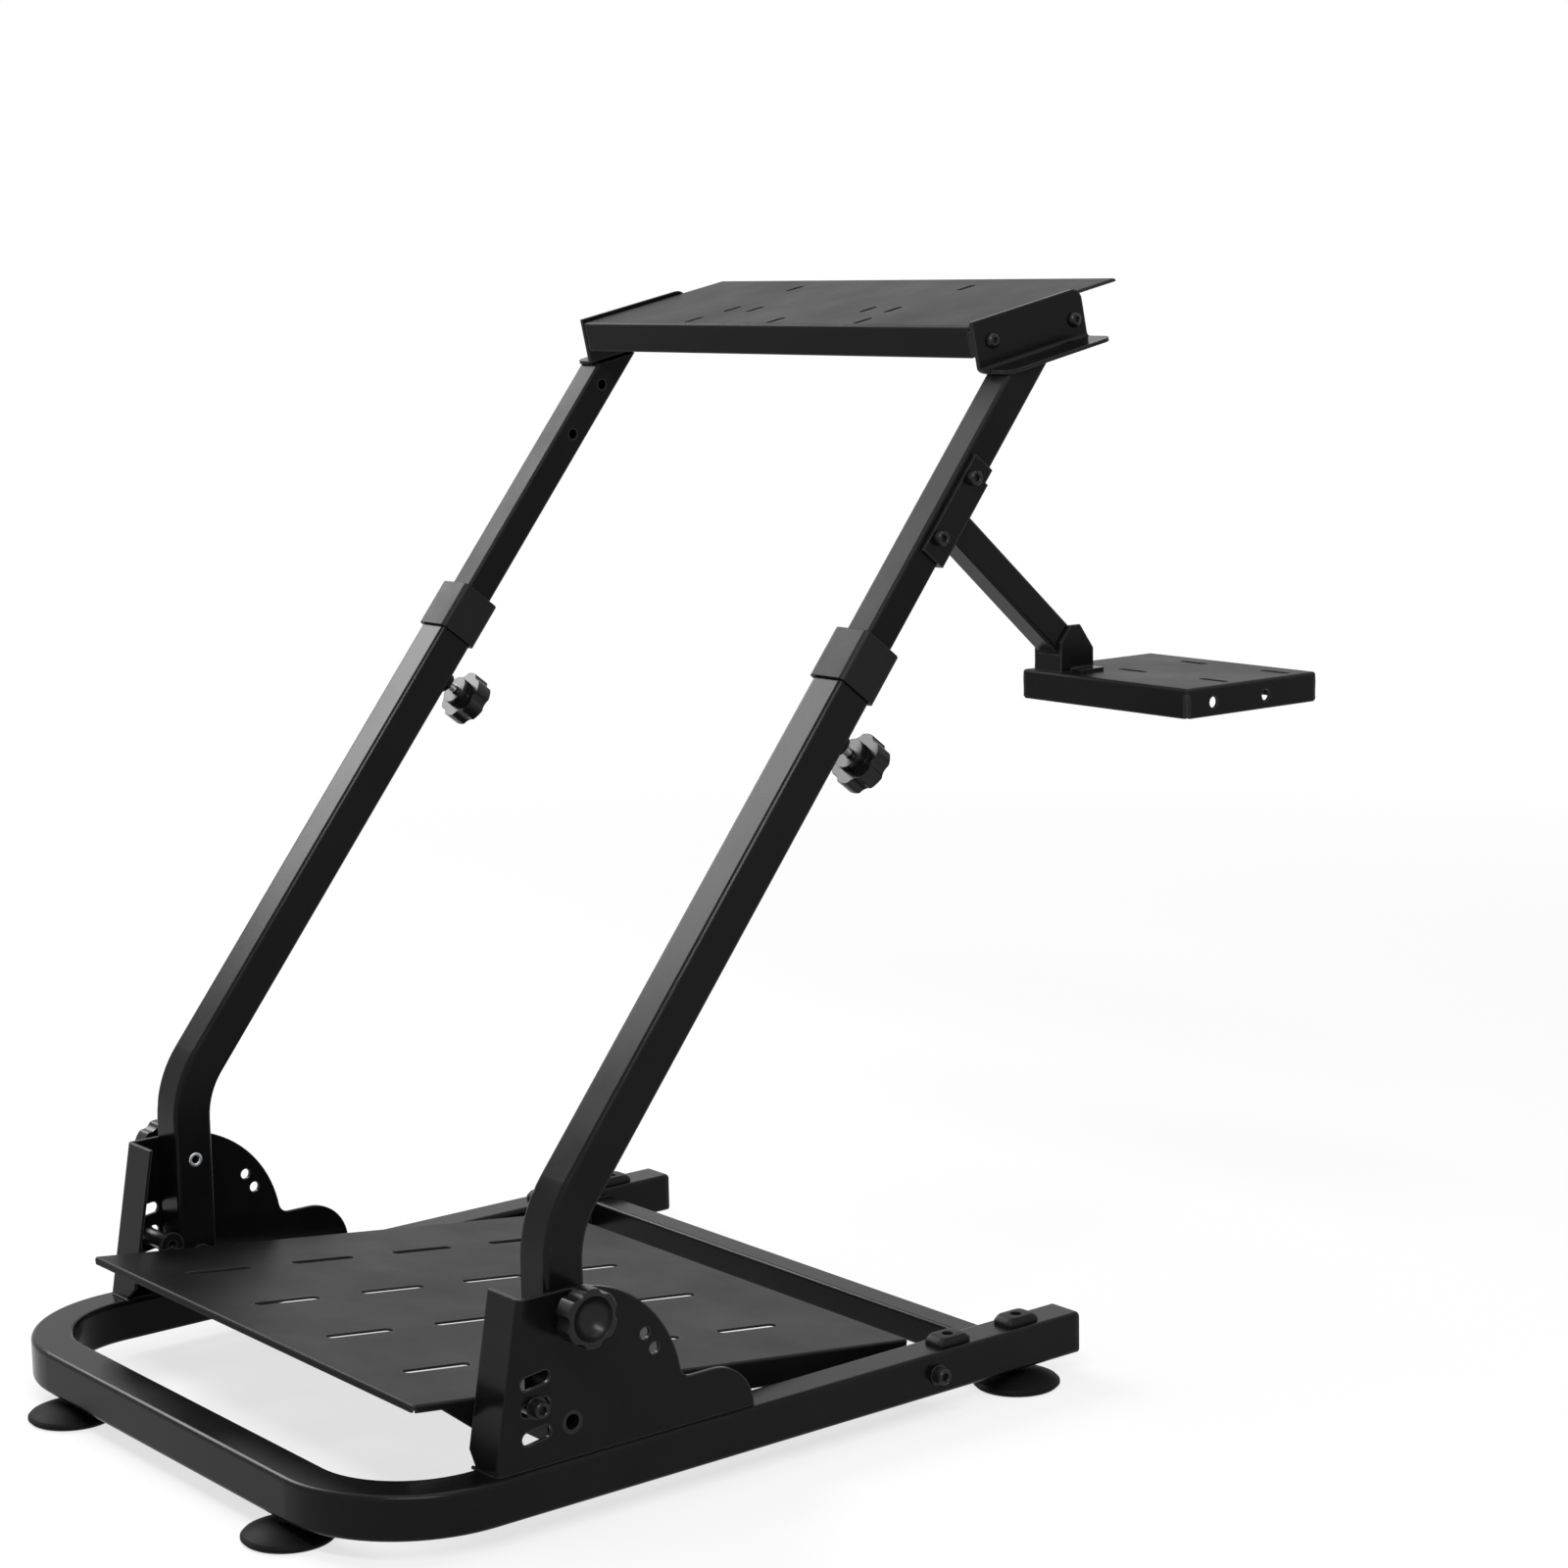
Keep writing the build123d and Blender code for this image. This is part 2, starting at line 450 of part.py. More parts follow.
# Wheel plate: tray with mounting slots and the curved slots of its tilt
wheel_plate = tray(2 * PLATE_HALF, PLATE_DEPTH, PLATE_FLANGE, PLATE_SHEET)
wheel_plate -= Pos(0, WEB_LENGTH + PLATE_DEPTH / 2, -PLATE_SHEET - PLATE_FLANGE / 2) * Box(
    CUT_REACH, PLATE_DEPTH, PLATE_FLANGE)
for slot_x, slot_y in PLATE_SLOTS:
    slot = extrude(Rot(0, 0, 90) * SlotOverall(PLATE_SLOT_LENGTH, PLATE_SLOT_WIDTH), PLATE_SHEET, both=True)
    wheel_plate -= Pos(slot_x, slot_y, 0) * slot
wheel_plate -= cross_pin(TILT_BOLT + 2 * RUN_GAP, -BASE_WIDTH, BASE_WIDTH, TILT_PIVOT[0], -TILT_PIVOT[1])
lock_reach = math.hypot(TILT_LOCK[0] - TILT_PIVOT[0], TILT_LOCK[1] - TILT_PIVOT[1])
lock_start = math.degrees(math.atan2(TILT_PIVOT[1] - TILT_LOCK[1], TILT_LOCK[0] - TILT_PIVOT[0]))
tilt_slot = SlotArc(
    CenterArc((TILT_PIVOT[0], -TILT_PIVOT[1]), lock_reach, lock_start - 0.5, TILT_RANGE + 1.0),
    TILT_BOLT + 2 * SLIDE_GAP)
slot_side = Plane(origin=(0, 0, 0), x_dir=(0, 1, 0), z_dir=(1, 0, 0))
wheel_plate -= extrude(slot_side * tilt_slot, BASE_WIDTH, both=True)
wheel_plate = plate_place * wheel_plate

# Shifter saddle: channel around the rear of the inner tube
saddle_at = lean_plane(SADDLE_START, 0, UPRIGHT_X)
saddle_wide = INNER_TUBE + 2 * SHEET
saddle_mid = -INNER_TUBE / 2 - SHEET + (SADDLE_WRAP + SHEET) / 2
saddle_face = Pos(0, saddle_mid) * Rectangle(saddle_wide, SADDLE_WRAP + SHEET)
saddle_face -= RectangleRounded(INNER_TUBE, INNER_TUBE, INNER_CORNER)
saddle_face -= Pos(0, INNER_TUBE / 2) * Rectangle(INNER_TUBE, INNER_TUBE)
saddle = extrude(saddle_at * saddle_face, SADDLE_END - SADDLE_START)
web_cut = lean_plane(SADDLE_WEB_END, -INNER_TUBE / 2 - SHEET / 2, UPRIGHT_X)
saddle -= extrude(web_cut * Rectangle(INNER_TUBE + 3 * SHEET, SHEET), SADDLE_END - SADDLE_WEB_END)
saddle_holes = []
for along in SADDLE_BOLTS:
    hole_at = lean_plane(along).origin
    saddle_holes.append(cross_pin(SADDLE_BOLT, 0, BASE_WIDTH, hole_at.Y, hole_at.Z))
saddle -= saddle_holes

# Shifter arm: square tube falling to the rear, cut level on the shifter plate
arm_root = lean_plane(ARM_AT, -INNER_TUBE / 2 - SHEET, UPRIGHT_X).origin
fall_cos = math.cos(math.radians(ARM_FALL))
fall_sin = math.sin(math.radians(ARM_FALL))
arm_plane = Plane(origin=arm_root, x_dir=(1, 0, 0), z_dir=(0, fall_cos, -fall_sin))
arm = extrude(arm_plane.offset(-2 * ARM_TUBE) * tube_face(ARM_TUBE, TUBE_WALL, INNER_CORNER), CUT_REACH / 2)
arm -= Pos(0, 0, SHIFTER_TOP - CUT_REACH / 2) * Box(2 * CUT_REACH, 2 * CUT_REACH, CUT_REACH)
tube_side = lean_plane(0, CUT_REACH / 2 - INNER_TUBE / 2 - SHEET, UPRIGHT_X)
arm -= extrude(tube_side * Rectangle(CUT_REACH, CUT_REACH), CUT_REACH)
arm_end = SHIFTER_Y[0] + GUSSET_INSET + GUSSET_DEEP
arm -= Pos(UPRIGHT_X, arm_end + CUT_REACH / 2, SHIFTER_TOP) * Box(CUT_REACH, CUT_REACH, CUT_REACH)

# Shifter plate and the folded gusset that holds the arm
shifter_wide = SHIFTER_X[1] - SHIFTER_X[0]
shifter_deep = SHIFTER_Y[1] - SHIFTER_Y[0]
shifter_mid = (SHIFTER_X[0] + SHIFTER_X[1]) / 2
shifter_plate = tray(shifter_wide, shifter_deep, SHIFTER_FLANGE, PLATE_SHEET)
slot_shape = extrude(SlotOverall(SHIFTER_SLOT_LENGTH, SHIFTER_SLOT_WIDTH), PLATE_SHEET, both=True)
for side_x in (-0.5, 0.5):
    for side_y in (-0.5, 0.5):
        slot_x = SHIFTER_SLOT_OFFSET[0] + side_x * SHIFTER_SLOT_SPACING_X
        slot_y = shifter_deep / 2 + SHIFTER_SLOT_OFFSET[1] + side_y * SHIFTER_SLOT_SPACING_Y
        shifter_plate -= Pos(slot_x, slot_y, 0) * slot_shape
for hole_y in (0.2, 0.6):
    shifter_plate -= cross_pin(LOCK_HOLE, 0, BASE_WIDTH, hole_y * shifter_deep, -SHIFTER_FLANGE * 0.55)
shifter_plate = Pos(shifter_mid, SHIFTER_Y[0], SHIFTER_TOP) * shifter_plate
gusset_y = SHIFTER_Y[0] + GUSSET_INSET
gusset_face = make_face(Polyline(
    (0, 0), (0, GUSSET_FRONT), (GUSSET_TOP[0], GUSSET_TALL), (GUSSET_TOP[1], GUSSET_TALL),
    (GUSSET_DEEP, GUSSET_REAR), (GUSSET_DEEP, 0), (0, 0)))
gusset_plane = Plane(
    origin=(UPRIGHT_X + ARM_TUBE / 2, gusset_y, SHIFTER_TOP), x_dir=(0, 1, 0), z_dir=(1, 0, 0))
gusset_cheek = extrude(gusset_plane * gusset_face, SHEET)
foot_deep = GUSSET_DEEP - GUSSET_TOP[0]
foot_x = UPRIGHT_X + ARM_TUBE / 2 + SHEET + GUSSET_FOOT / 2
foot_y = gusset_y + GUSSET_DEEP - foot_deep / 2
gusset_cheek += Pos(foot_x, foot_y, SHIFTER_TOP + SHEET / 2) * Box(GUSSET_FOOT, foot_deep, SHEET)
across_arm = Plane(origin=(UPRIGHT_X, 0, 0), x_dir=(0, 1, 0), z_dir=(1, 0, 0))
gusset = gusset_cheek + mirror(gusset_cheek, about=across_arm)
gusset += Pos(UPRIGHT_X, gusset_y + SHEET / 2, SHIFTER_TOP + GUSSET_FRONT / 2) * Box(
    ARM_TUBE + 2 * SHEET, SHEET, GUSSET_FRONT)
gusset -= extrude(arm_plane * Rectangle(ARM_TUBE, ARM_TUBE), CUT_REACH)

# Pedal plate: long tray on a slope, bolted to the rails and to one of the bracket slots
pedal_plane = Plane(
    origin=(0, PEDAL_BOLT_Y, FOOT_HEIGHT + PEDAL_BOLT_RISE), x_dir=(-1, 0, 0),
    z_dir=(0, SLOPE_SIN, SLOPE_COS))
pedal_long = PEDAL_REAR + PEDAL_FRONT
pedal_tray = tray(2 * PEDAL_HALF_WIDTH, pedal_long, PEDAL_FLANGE, PEDAL_SHEET)
pedal_plate = Pos(0, -PEDAL_REAR, PEDAL_TOP) * pedal_tray
flange_end = PEDAL_TOP - PEDAL_FLANGE
lip_face = make_face(Polyline(
    (PEDAL_LIP_START, flange_end), (PEDAL_LIP_START + PEDAL_LIP_TAPER, PEDAL_TOP - PEDAL_LIP),
    (PEDAL_FRONT, PEDAL_TOP - PEDAL_LIP), (PEDAL_FRONT, flange_end), (PEDAL_LIP_START, flange_end)))
lip_plane = Plane(origin=(0, 0, 0), x_dir=(0, 1, 0), z_dir=(1, 0, 0))
pedal_plate -= extrude(lip_plane * lip_face, BASE_WIDTH, both=True)
pedal_opening = extrude(
    Rot(0, 0, 90) * SlotOverall(PEDAL_OPENING_LENGTH, PEDAL_OPENING_WIDTH), PEDAL_SHEET, both=True)
for row in PEDAL_SLOT_ROWS:
    for column in PEDAL_SLOT_COLUMNS:
        pedal_plate -= Pos(column, row, PEDAL_TOP) * pedal_opening
ear_mid = (FRONT_BOLT_UP + PEDAL_TOP - EAR_DEEP) / 2
ear_face = Pos(FRONT_BOLT_ALONG, FRONT_BOLT_UP) * Circle(EAR_RADIUS)
ear_face += Pos(FRONT_BOLT_ALONG, ear_mid) * Rectangle(2 * EAR_RADIUS, FRONT_BOLT_UP - PEDAL_TOP + EAR_DEEP)
ear_face -= Pos(FRONT_BOLT_ALONG, FRONT_BOLT_UP) * Circle(PEDAL_BOLT / 2)
ear = extrude(lip_plane.offset(PEDAL_HALF_WIDTH) * ear_face, SHEET)
pedal_plate += ear + mirrored(ear)
pedal_plate -= cross_pin(PEDAL_BOLT, -BASE_WIDTH, BASE_WIDTH, 0, 0)
pedal_plate = pedal_plane.location * pedal_plate

# Spacers that hold the pedal plate between the rails and the brackets
front_bolt_z = RAIL_TOP + PEDAL_SLOT_RISES[1]
front_spacer = cross_pin(SPACER_DIAMETER, EAR_OUTER, BRACKET_INNER, PEDAL_SLOT_Y, front_bolt_z)
front_spacer -= cross_pin(PEDAL_BOLT, EAR_OUTER, BRACKET_INNER, PEDAL_SLOT_Y, front_bolt_z)
rear_spacer = cross_pin(SPACER_DIAMETER, PEDAL_HALF_WIDTH, RAIL_INNER, PEDAL_BOLT_Y, rear_bolt_z)
rear_spacer -= cross_pin(PEDAL_BOLT, PEDAL_HALF_WIDTH, RAIL_INNER, PEDAL_BOLT_Y, rear_bolt_z)

# Named pieces
right_pieces = {
    "end_cap": end_cap,
    "side_bracket": bracket,
    "pivot_bush": pivot_bush,
    "lock_knob": lock_knob,
    "lock_stud": lock_stud,
    "upright": upright,
    "collar": collar,
    "knob_boss": boss,
    "height_knob": height_knob,
    "height_stud": height_stud,
    "inner_tube": inner_tube,
    "plate_bracket": plate_bracket,
    "tilt_pivot_bolt": tilt_bolts[0],
    "tilt_clamp_bolt": tilt_bolts[1],
    "front_spacer": front_spacer,
    "rear_spacer": rear_spacer,
}
pieces = {
    "base_frame": base_frame,
    "cross_bar": cross_bar,
    "pedal_plate": pedal_plate,
    "wheel_plate": wheel_plate,
    "shifter_saddle": saddle,
    "shifter_arm": arm,
    "shifter_plate": shifter_plate,
    "shifter_gusset": gusset,
}
for foot_name, foot_x, foot_y in feet_at:
    pieces["foot_" + foot_name] = levelling_foot(foot_x, foot_y)
for name, shape in right_pieces.items():
    pieces[name + "_right"] = shape
    pieces[name + "_left"] = mirrored(shape)
pieces["inner_tube_right"] -= saddle_holes

# Origin on the floor under the middle of the whole stand
boxes = [shape.bounding_box() for shape in pieces.values()]
middle_x = (min(b.min.X for b in boxes) + max(b.max.X for b in boxes)) / 2
middle_y = (min(b.min.Y for b in boxes) + max(b.max.Y for b in boxes)) / 2
for name, shape in pieces.items():
    export_step(Pos(-middle_x, -middle_y, 0) * shape, "parts/" + name + ".step")
print("origin", middle_x, middle_y, "pieces", len(pieces))
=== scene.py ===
"""Looks of the folding racing wheel stand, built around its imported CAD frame."""
import math

import bmesh
import bpy
from mathutils import Matrix, Vector


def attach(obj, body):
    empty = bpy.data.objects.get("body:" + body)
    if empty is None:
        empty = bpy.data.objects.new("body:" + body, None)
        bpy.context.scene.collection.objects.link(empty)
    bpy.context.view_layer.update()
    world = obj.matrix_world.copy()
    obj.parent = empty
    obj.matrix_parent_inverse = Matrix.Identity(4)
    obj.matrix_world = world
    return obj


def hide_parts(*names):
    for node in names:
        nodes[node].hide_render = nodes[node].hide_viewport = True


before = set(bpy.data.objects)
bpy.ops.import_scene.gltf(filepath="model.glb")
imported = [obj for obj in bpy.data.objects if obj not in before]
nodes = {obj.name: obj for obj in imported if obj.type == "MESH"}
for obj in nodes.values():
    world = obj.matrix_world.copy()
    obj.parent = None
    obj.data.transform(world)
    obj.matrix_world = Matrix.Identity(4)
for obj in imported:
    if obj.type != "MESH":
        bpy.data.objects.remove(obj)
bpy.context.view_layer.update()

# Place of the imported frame's origin in the design frame of the part's source, in millimetres
ORIGIN = (53.0, 403.5)
PER_METRE = 1000.0

# Sizes shared with the part's source, in millimetres
TUBE = 35.0
INNER_TUBE = 28.0
CROSS_TUBE = 25.0
SHEET = 3.0
BASE_HALF = 300.0
RAIL_X = BASE_HALF - TUBE / 2
RAIL_INNER = BASE_HALF - TUBE
RAIL_TOP = 53.0
CROSS_Y = 611.0
CROSS_Z = 33.5
BRACKET_X = 296.0
BRACKET_INNER = BRACKET_X - SHEET
BRACKET_FOOT_Y = 115.0
UPRIGHT_X = 275.0
PIVOT_Y = 182.0
BEND_HEIGHT = 227.0
LEAN = math.radians(52.0)
LOCK_Z = 166.0
HEIGHT_KNOB_AT = 428.0
PLATE_FRONT = (616.0, 864.0)
PLATE_TILT = math.radians(12.0)
PLATE_HALF = 260.7
PLATE_SHEET = 2.5
PLATE_FLANGE = 26.0
WEB_OUTER = 264.0
TILT_PIVOT = (18.0, -16.0)
TILT_CLAMP = (108.0, -21.0)
SADDLE_BOLTS = (604.5, 661.0)
ARM_AT = 626.0
SHIFTER_X = (246.0, 432.0)
SHIFTER_Y = (683.0, 830.0)
SHIFTER_TOP = 585.5
SHIFTER_FLANGE = 23.5
PEDAL_BOLT = (535.0, 35.5)
PEDAL_FRONT_BOLT = (150.0, 99.0)
PEDAL_SLOPE = math.radians(6.8)
PEDAL_HALF = 246.0
PEDAL_SHEET = 2.0
PEDAL_REAR = 14.0
PEDAL_TOP = 14.5
PEDAL_FLANGE = 23.0

SIDES = (("left", -1.0), ("right", 1.0))
X_AXIS = Vector((1, 0, 0))


def at(x, y, z):
    """Point of the design frame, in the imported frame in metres."""
    return Vector(((x - ORIGIN[0]) / PER_METRE, (y - ORIGIN[1]) / PER_METRE, z / PER_METRE))


def on_upright(x, along, offset=0.0):
    """Point by its distance up the leaning tube and its height over the centre line, to the front."""
    return at(
        x,
        PIVOT_Y + along * math.cos(LEAN) - offset * math.sin(LEAN),
        BEND_HEIGHT + along * math.sin(LEAN) + offset * math.cos(LEAN),
    )


def on_plate(x, along, up):
    """Point in the tilted frame of the wheel plate."""
    return at(
        x,
        PLATE_FRONT[0] + along * math.cos(PLATE_TILT) - up * math.sin(PLATE_TILT),
        PLATE_FRONT[1] + along * math.sin(PLATE_TILT) + up * math.cos(PLATE_TILT),
    )


def on_pedal(x, along, up):
    """Point in the sloping frame of the pedal plate, which starts at its rear bolts and runs to the front."""
    return at(
        x,
        PEDAL_BOLT[0] - along * math.cos(PEDAL_SLOPE) + up * math.sin(PEDAL_SLOPE),
        PEDAL_BOLT[1] + along * math.sin(PEDAL_SLOPE) + up * math.cos(PEDAL_SLOPE),
    )


# Materials, with lengths in metres
BROAD_NOISE = {"Scale": 14.0, "Detail": 5.0, "Roughness": 0.6}
FINE_NOISE = {"Detail": 3.0, "Roughness": 0.55}
NOISE_BAND = (0.3, 0.7)
GRAIN_STRENGTH = 0.35
BEVEL_SAMPLES = 4
SOFT_EDGE = 0.0009
CRISP_EDGE = 0.0003
# Painted highlight: along sharp edges the base colour turns this lighter grey, in place of the light that
# edges catch
HIGHLIGHT_EDGE_REACH = 0.0022
HIGHLIGHT_EDGE_TURN = (0.95, 0.995)
PAINTED_HIGHLIGHT_GREY = 0.034


def new_material(name):
    material = bpy.data.materials.new(name)
    material.use_nodes = True
    tree = material.node_tree
    return material, tree, tree.nodes["Principled BSDF"]


def node(tree, kind, **values):
    """Shader node with some of its inputs or settings given."""
    made = tree.nodes.new(kind)
    for key, value in values.items():
        if key in made.inputs:
            made.inputs[key].default_value = value
        else:
            setattr(made, key, value)
    return made


def ramp(tree, source, low, high, start, end):
    """Maps the span from start to end of a source to the span from low to high."""
    mapped = node(tree, "ShaderNodeMapRange")
    mapped.inputs["From Min"].default_value = start
    mapped.inputs["From Max"].default_value = end
    mapped.inputs["To Min"].default_value = low
    mapped.inputs["To Max"].default_value = high
    tree.links.new(source, mapped.inputs["Value"])
    return mapped.outputs["Result"]


def edge_share(tree):
    """One where the surface turns sharply, zero on flat faces."""
    around = node(tree, "ShaderNodeBevel", samples=BEVEL_SAMPLES, Radius=HIGHLIGHT_EDGE_REACH)
    here = node(tree, "ShaderNodeNewGeometry")
    turn = node(tree, "ShaderNodeVectorMath", operation="DOT_PRODUCT")
    tree.links.new(around.outputs["Normal"], turn.inputs[0])
    tree.links.new(here.outputs["Normal"], turn.inputs[1])
    return ramp(tree, turn.outputs["Value"], 1.0, 0.0, *HIGHLIGHT_EDGE_TURN)


def grained(name, dark, light, rough, grain, depth, specular, metallic=0.0, edge=SOFT_EDGE, worn=None):
    """Satin surface: mottled colour and roughness, fine grain, rounded edges, and an optional painted
    highlight of lighter grey along sharp edges.
    """
    material, tree, shader = new_material(name)
    place = node(tree, "ShaderNodeTexCoord")
    broad = node(tree, "ShaderNodeTexNoise", **BROAD_NOISE)
    fine = node(tree, "ShaderNodeTexNoise", Scale=grain, **FINE_NOISE)
    tree.links.new(place.outputs["Object"], broad.inputs["Vector"])
    tree.links.new(place.outputs["Object"], fine.inputs["Vector"])
    colour = node(tree, "ShaderNodeMix", data_type="RGBA")
    colour.inputs["A"].default_value = (*dark, 1.0)
    colour.inputs["B"].default_value = (*light, 1.0)
    tree.links.new(ramp(tree, broad.outputs["Fac"], 0.0, 1.0, *NOISE_BAND), colour.inputs["Factor"])
    # Painted highlight: lighter base colour where the surface turns sharply
    if worn:
        highlighted = node(tree, "ShaderNodeMix", data_type="RGBA")
        highlighted.inputs["B"].default_value = (worn, worn, worn, 1.0)
        tree.links.new(edge_share(tree), highlighted.inputs["Factor"])
        tree.links.new(colour.outputs["Result"], highlighted.inputs["A"])
        colour = highlighted
    tree.links.new(colour.outputs["Result"], shader.inputs["Base Color"])
    tree.links.new(ramp(tree, broad.outputs["Fac"], *rough, *NOISE_BAND), shader.inputs["Roughness"])
    rounded = node(tree, "ShaderNodeBevel", samples=BEVEL_SAMPLES, Radius=edge)
    bump = node(tree, "ShaderNodeBump", Strength=GRAIN_STRENGTH, Distance=depth)
    tree.links.new(fine.outputs["Fac"], bump.inputs["Height"])
    tree.links.new(rounded.outputs["Normal"], bump.inputs["Normal"])
    tree.links.new(bump.outputs["Normal"], shader.inputs["Normal"])
    shader.inputs["Specular IOR Level"].default_value = specular
    shader.inputs["Metallic"].default_value = metallic
    return material


# Both powder coats carry the painted edge highlight
powder = grained(
    "powder_coat", dark=(0.0030, 0.0030, 0.0031), light=(0.0046, 0.0046, 0.0047), rough=(0.17, 0.23),
    grain=1400.0, depth=0.00001, specular=0.09, worn=PAINTED_HIGHLIGHT_GREY,
)
plate_powder = grained(
    "plate_coat", dark=(0.0032, 0.0032, 0.0033), light=(0.0050, 0.0050, 0.0051), rough=(0.36, 0.44),
    grain=1100.0, depth=0.00006, specular=0.07, worn=PAINTED_HIGHLIGHT_GREY,
)
plastic = grained(
    "moulded_plastic", dark=(0.0045, 0.0045, 0.0045), light=(0.0065, 0.0065, 0.0065), rough=(0.40, 0.50),
    grain=2200.0, depth=0.00005, specular=0.13,
)
gloss_plastic = grained(
    "knob_plastic", dark=(0.004, 0.004, 0.004), light=(0.006, 0.006, 0.006), rough=(0.24, 0.32),
    grain=1800.0, depth=0.00002, specular=0.20,
)
rubber = grained(
    "foot_rubber", dark=(0.003, 0.003, 0.003), light=(0.005, 0.005, 0.005), rough=(0.48, 0.60),
    grain=1600.0, depth=0.00006, specular=0.06,
)
black_steel = grained(
    "blackened_steel", dark=(0.007, 0.007, 0.007), light=(0.012, 0.012, 0.012), rough=(0.28, 0.40),
    grain=2600.0, depth=0.00003, specular=0.25, metallic=0.25, edge=CRISP_EDGE,
)
zinc = grained(
    "zinc_steel", dark=(0.48, 0.49, 0.51), light=(0.60, 0.61, 0.63), rough=(0.26, 0.38),
    grain=2600.0, depth=0.00002, specular=0.5, metallic=1.0, edge=CRISP_EDGE,
)
weld = grained(
    "painted_weld", dark=(0.0035, 0.0035, 0.0035), light=(0.0055, 0.0055, 0.0055), rough=(0.34, 0.44),
    grain=900.0, depth=0.00012, specular=0.10, edge=CRISP_EDGE,
)

# Finish of each CAD node by its name without its side; all the others are powder coated
FINISHES = (
    (plate_powder, ("wheel_plate", "pedal_plate", "shifter_plate", "inner_tube")),
    (plastic, ("end_cap", "collar")),
    (gloss_plastic, ("lock_knob", "height_knob")),
    (rubber, ("foot_front", "foot_rear")),
    (zinc, ("lock_stud", "height_stud")),
    (black_steel, ("front_spacer", "rear_spacer", "tilt_pivot_bolt", "tilt_clamp_bolt")),
)
finish_of = {stem: finish for finish, stems in FINISHES for stem in stems}
for name, obj in nodes.items():
    stem = name.replace("_left", "").replace("_right", "")
    obj.data.materials.clear()
    obj.data.materials.append(finish_of.get(stem, powder))

# Mesh tools
SHARP_TURN = math.radians(35.0)


def mesh_piece(name, verts, faces, material, body, slot):
    """Object with smooth faces and sharp edges, which rides a body."""
    mesh = bpy.data.meshes.new(name)
    mesh.from_pydata([tuple(v) for v in verts], [], faces)
    bm = bmesh.new()
    bm.from_mesh(mesh)
    bmesh.ops.recalc_face_normals(bm, faces=bm.faces[:])
    for edge in bm.edges:
        edge.smooth = len(edge.link_faces) == 2 and edge.calc_face_angle() < SHARP_TURN
    for face in bm.faces:
        face.smooth = True
    bm.to_mesh(mesh)
    bm.free()
    mesh.materials.append(material)
    obj = bpy.data.objects.new(name, mesh)
    bpy.context.scene.collection.objects.link(obj)
    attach(obj, body)
    return obj


def axes_for(direction):
    """Two directions square to a given one, and that one."""
    w = Vector(direction).normalized()
    nearly_upright = 0.9
    side = Vector((0, 0, 1)) if abs(w.z) < nearly_upright else Vector((0, 1, 0))
    u = side.cross(w).normalized()
    return u, w.cross(u), w


def spoke(u, v, step, steps):
    """Direction at one of the equal steps around a circle."""
    angle = 2 * math.pi * step / steps
    return u * math.cos(angle) + v * math.sin(angle)


def turned(rows, centre, direction, segments=72, capped=True):
    """Turned shape from rows of radius and height in millimetres, numbers or functions of the angle."""
    u, v, w = axes_for(direction)
    verts, faces, rings = [], [], []
    for radius, height in rows:
        ring = []
        for k in range(segments):
            angle = 2 * math.pi * k / segments
            r = radius(angle) if callable(radius) else radius
            h = height(angle) if callable(height) else height
            ring.append(len(verts))
            verts.append(centre + spoke(u, v, k, segments) * (r / PER_METRE) + w * (h / PER_METRE))
        rings.append(ring)
    for a, b in zip(rings, rings[1:]):
        for k in range(segments):
            n = (k + 1) % segments
            faces.append((a[k], a[n], b[n], b[k]))
    if capped:
        faces.append(tuple(reversed(rings[0])))
        faces.append(tuple(rings[-1]))
    return verts, faces


def merge(*shapes):
    verts, faces = [], []
    for v, f in shapes:
        base = len(verts)
        verts.extend(v)
        faces.extend(tuple(i + base for i in face) for face in f)
    return verts, faces


# Fasteners, in millimetres
MIDDLE = 0.3
HEAD_EASE = 0.3
CAP_RIM = ((0.0, 1.1), (0.25, 0.5), (0.9, 0.0))
CAP_MOUTH = ((1.1, 0.0), (0.75, 0.3))
CAP_RECESS_START = 0.8
CAP_RECESS_CONE = 0.5
BUTTON_EASE = 0.2
BUTTON_MOUTH = 1.0
BUTTON_LIP = 0.7
BUTTON_RECESS_START = 0.5
BUTTON_RECESS_DEPTH = 2.2
BUTTON_RECESS_CONE = 0.4
DOME_TURN = math.radians(78.0)
DOME_STEPS = 6
NUT_FACE = 0.97
NUT_CLIP = 1.02
NUT_DROP_FROM = 0.99
NUT_DROP_SLOPE = 0.5
NUT_FACE_EASE = 0.1
NUT_CORNER_EASE = 0.25
NUT_COUNTERSINK = 0.6
NUT_BORE_START = 0.9
WASHER_RIM_EASE = 0.25
WASHER_HOLE_EASE = 0.2
THREAD_SEGMENTS = 32
THREAD_DEPTH = 0.58
THREAD_END_SLOPE = 0.9


def hexagon_radius(angle, across):
    """Distance from the middle of a hexagon to its side, at an angle."""
    step = math.pi / 3
    return across / 2 / math.cos((angle + step / 2) % step - step / 2)


def cap_head(centre, direction, head, height, socket, depth):
    """Socket head: rounded rim, bevelled mouth and a hexagonal recess."""
    rim = head / 2
    mouth = socket / 2

    def recess(angle):
        return hexagon_radius(angle, socket)

    rows = [(MIDDLE, 0.0), (rim - HEAD_EASE, 0.0), (rim, HEAD_EASE)]
    rows += [(rim - inset, height - drop) for inset, drop in CAP_RIM]
    rows += [(mouth + spread, height - drop) for spread, drop in CAP_MOUTH]
    rows += [(recess, height - CAP_RECESS_START), (recess, height - depth)]
    rows += [(MIDDLE, height - depth - CAP_RECESS_CONE)]
    return turned(rows, centre, direction)


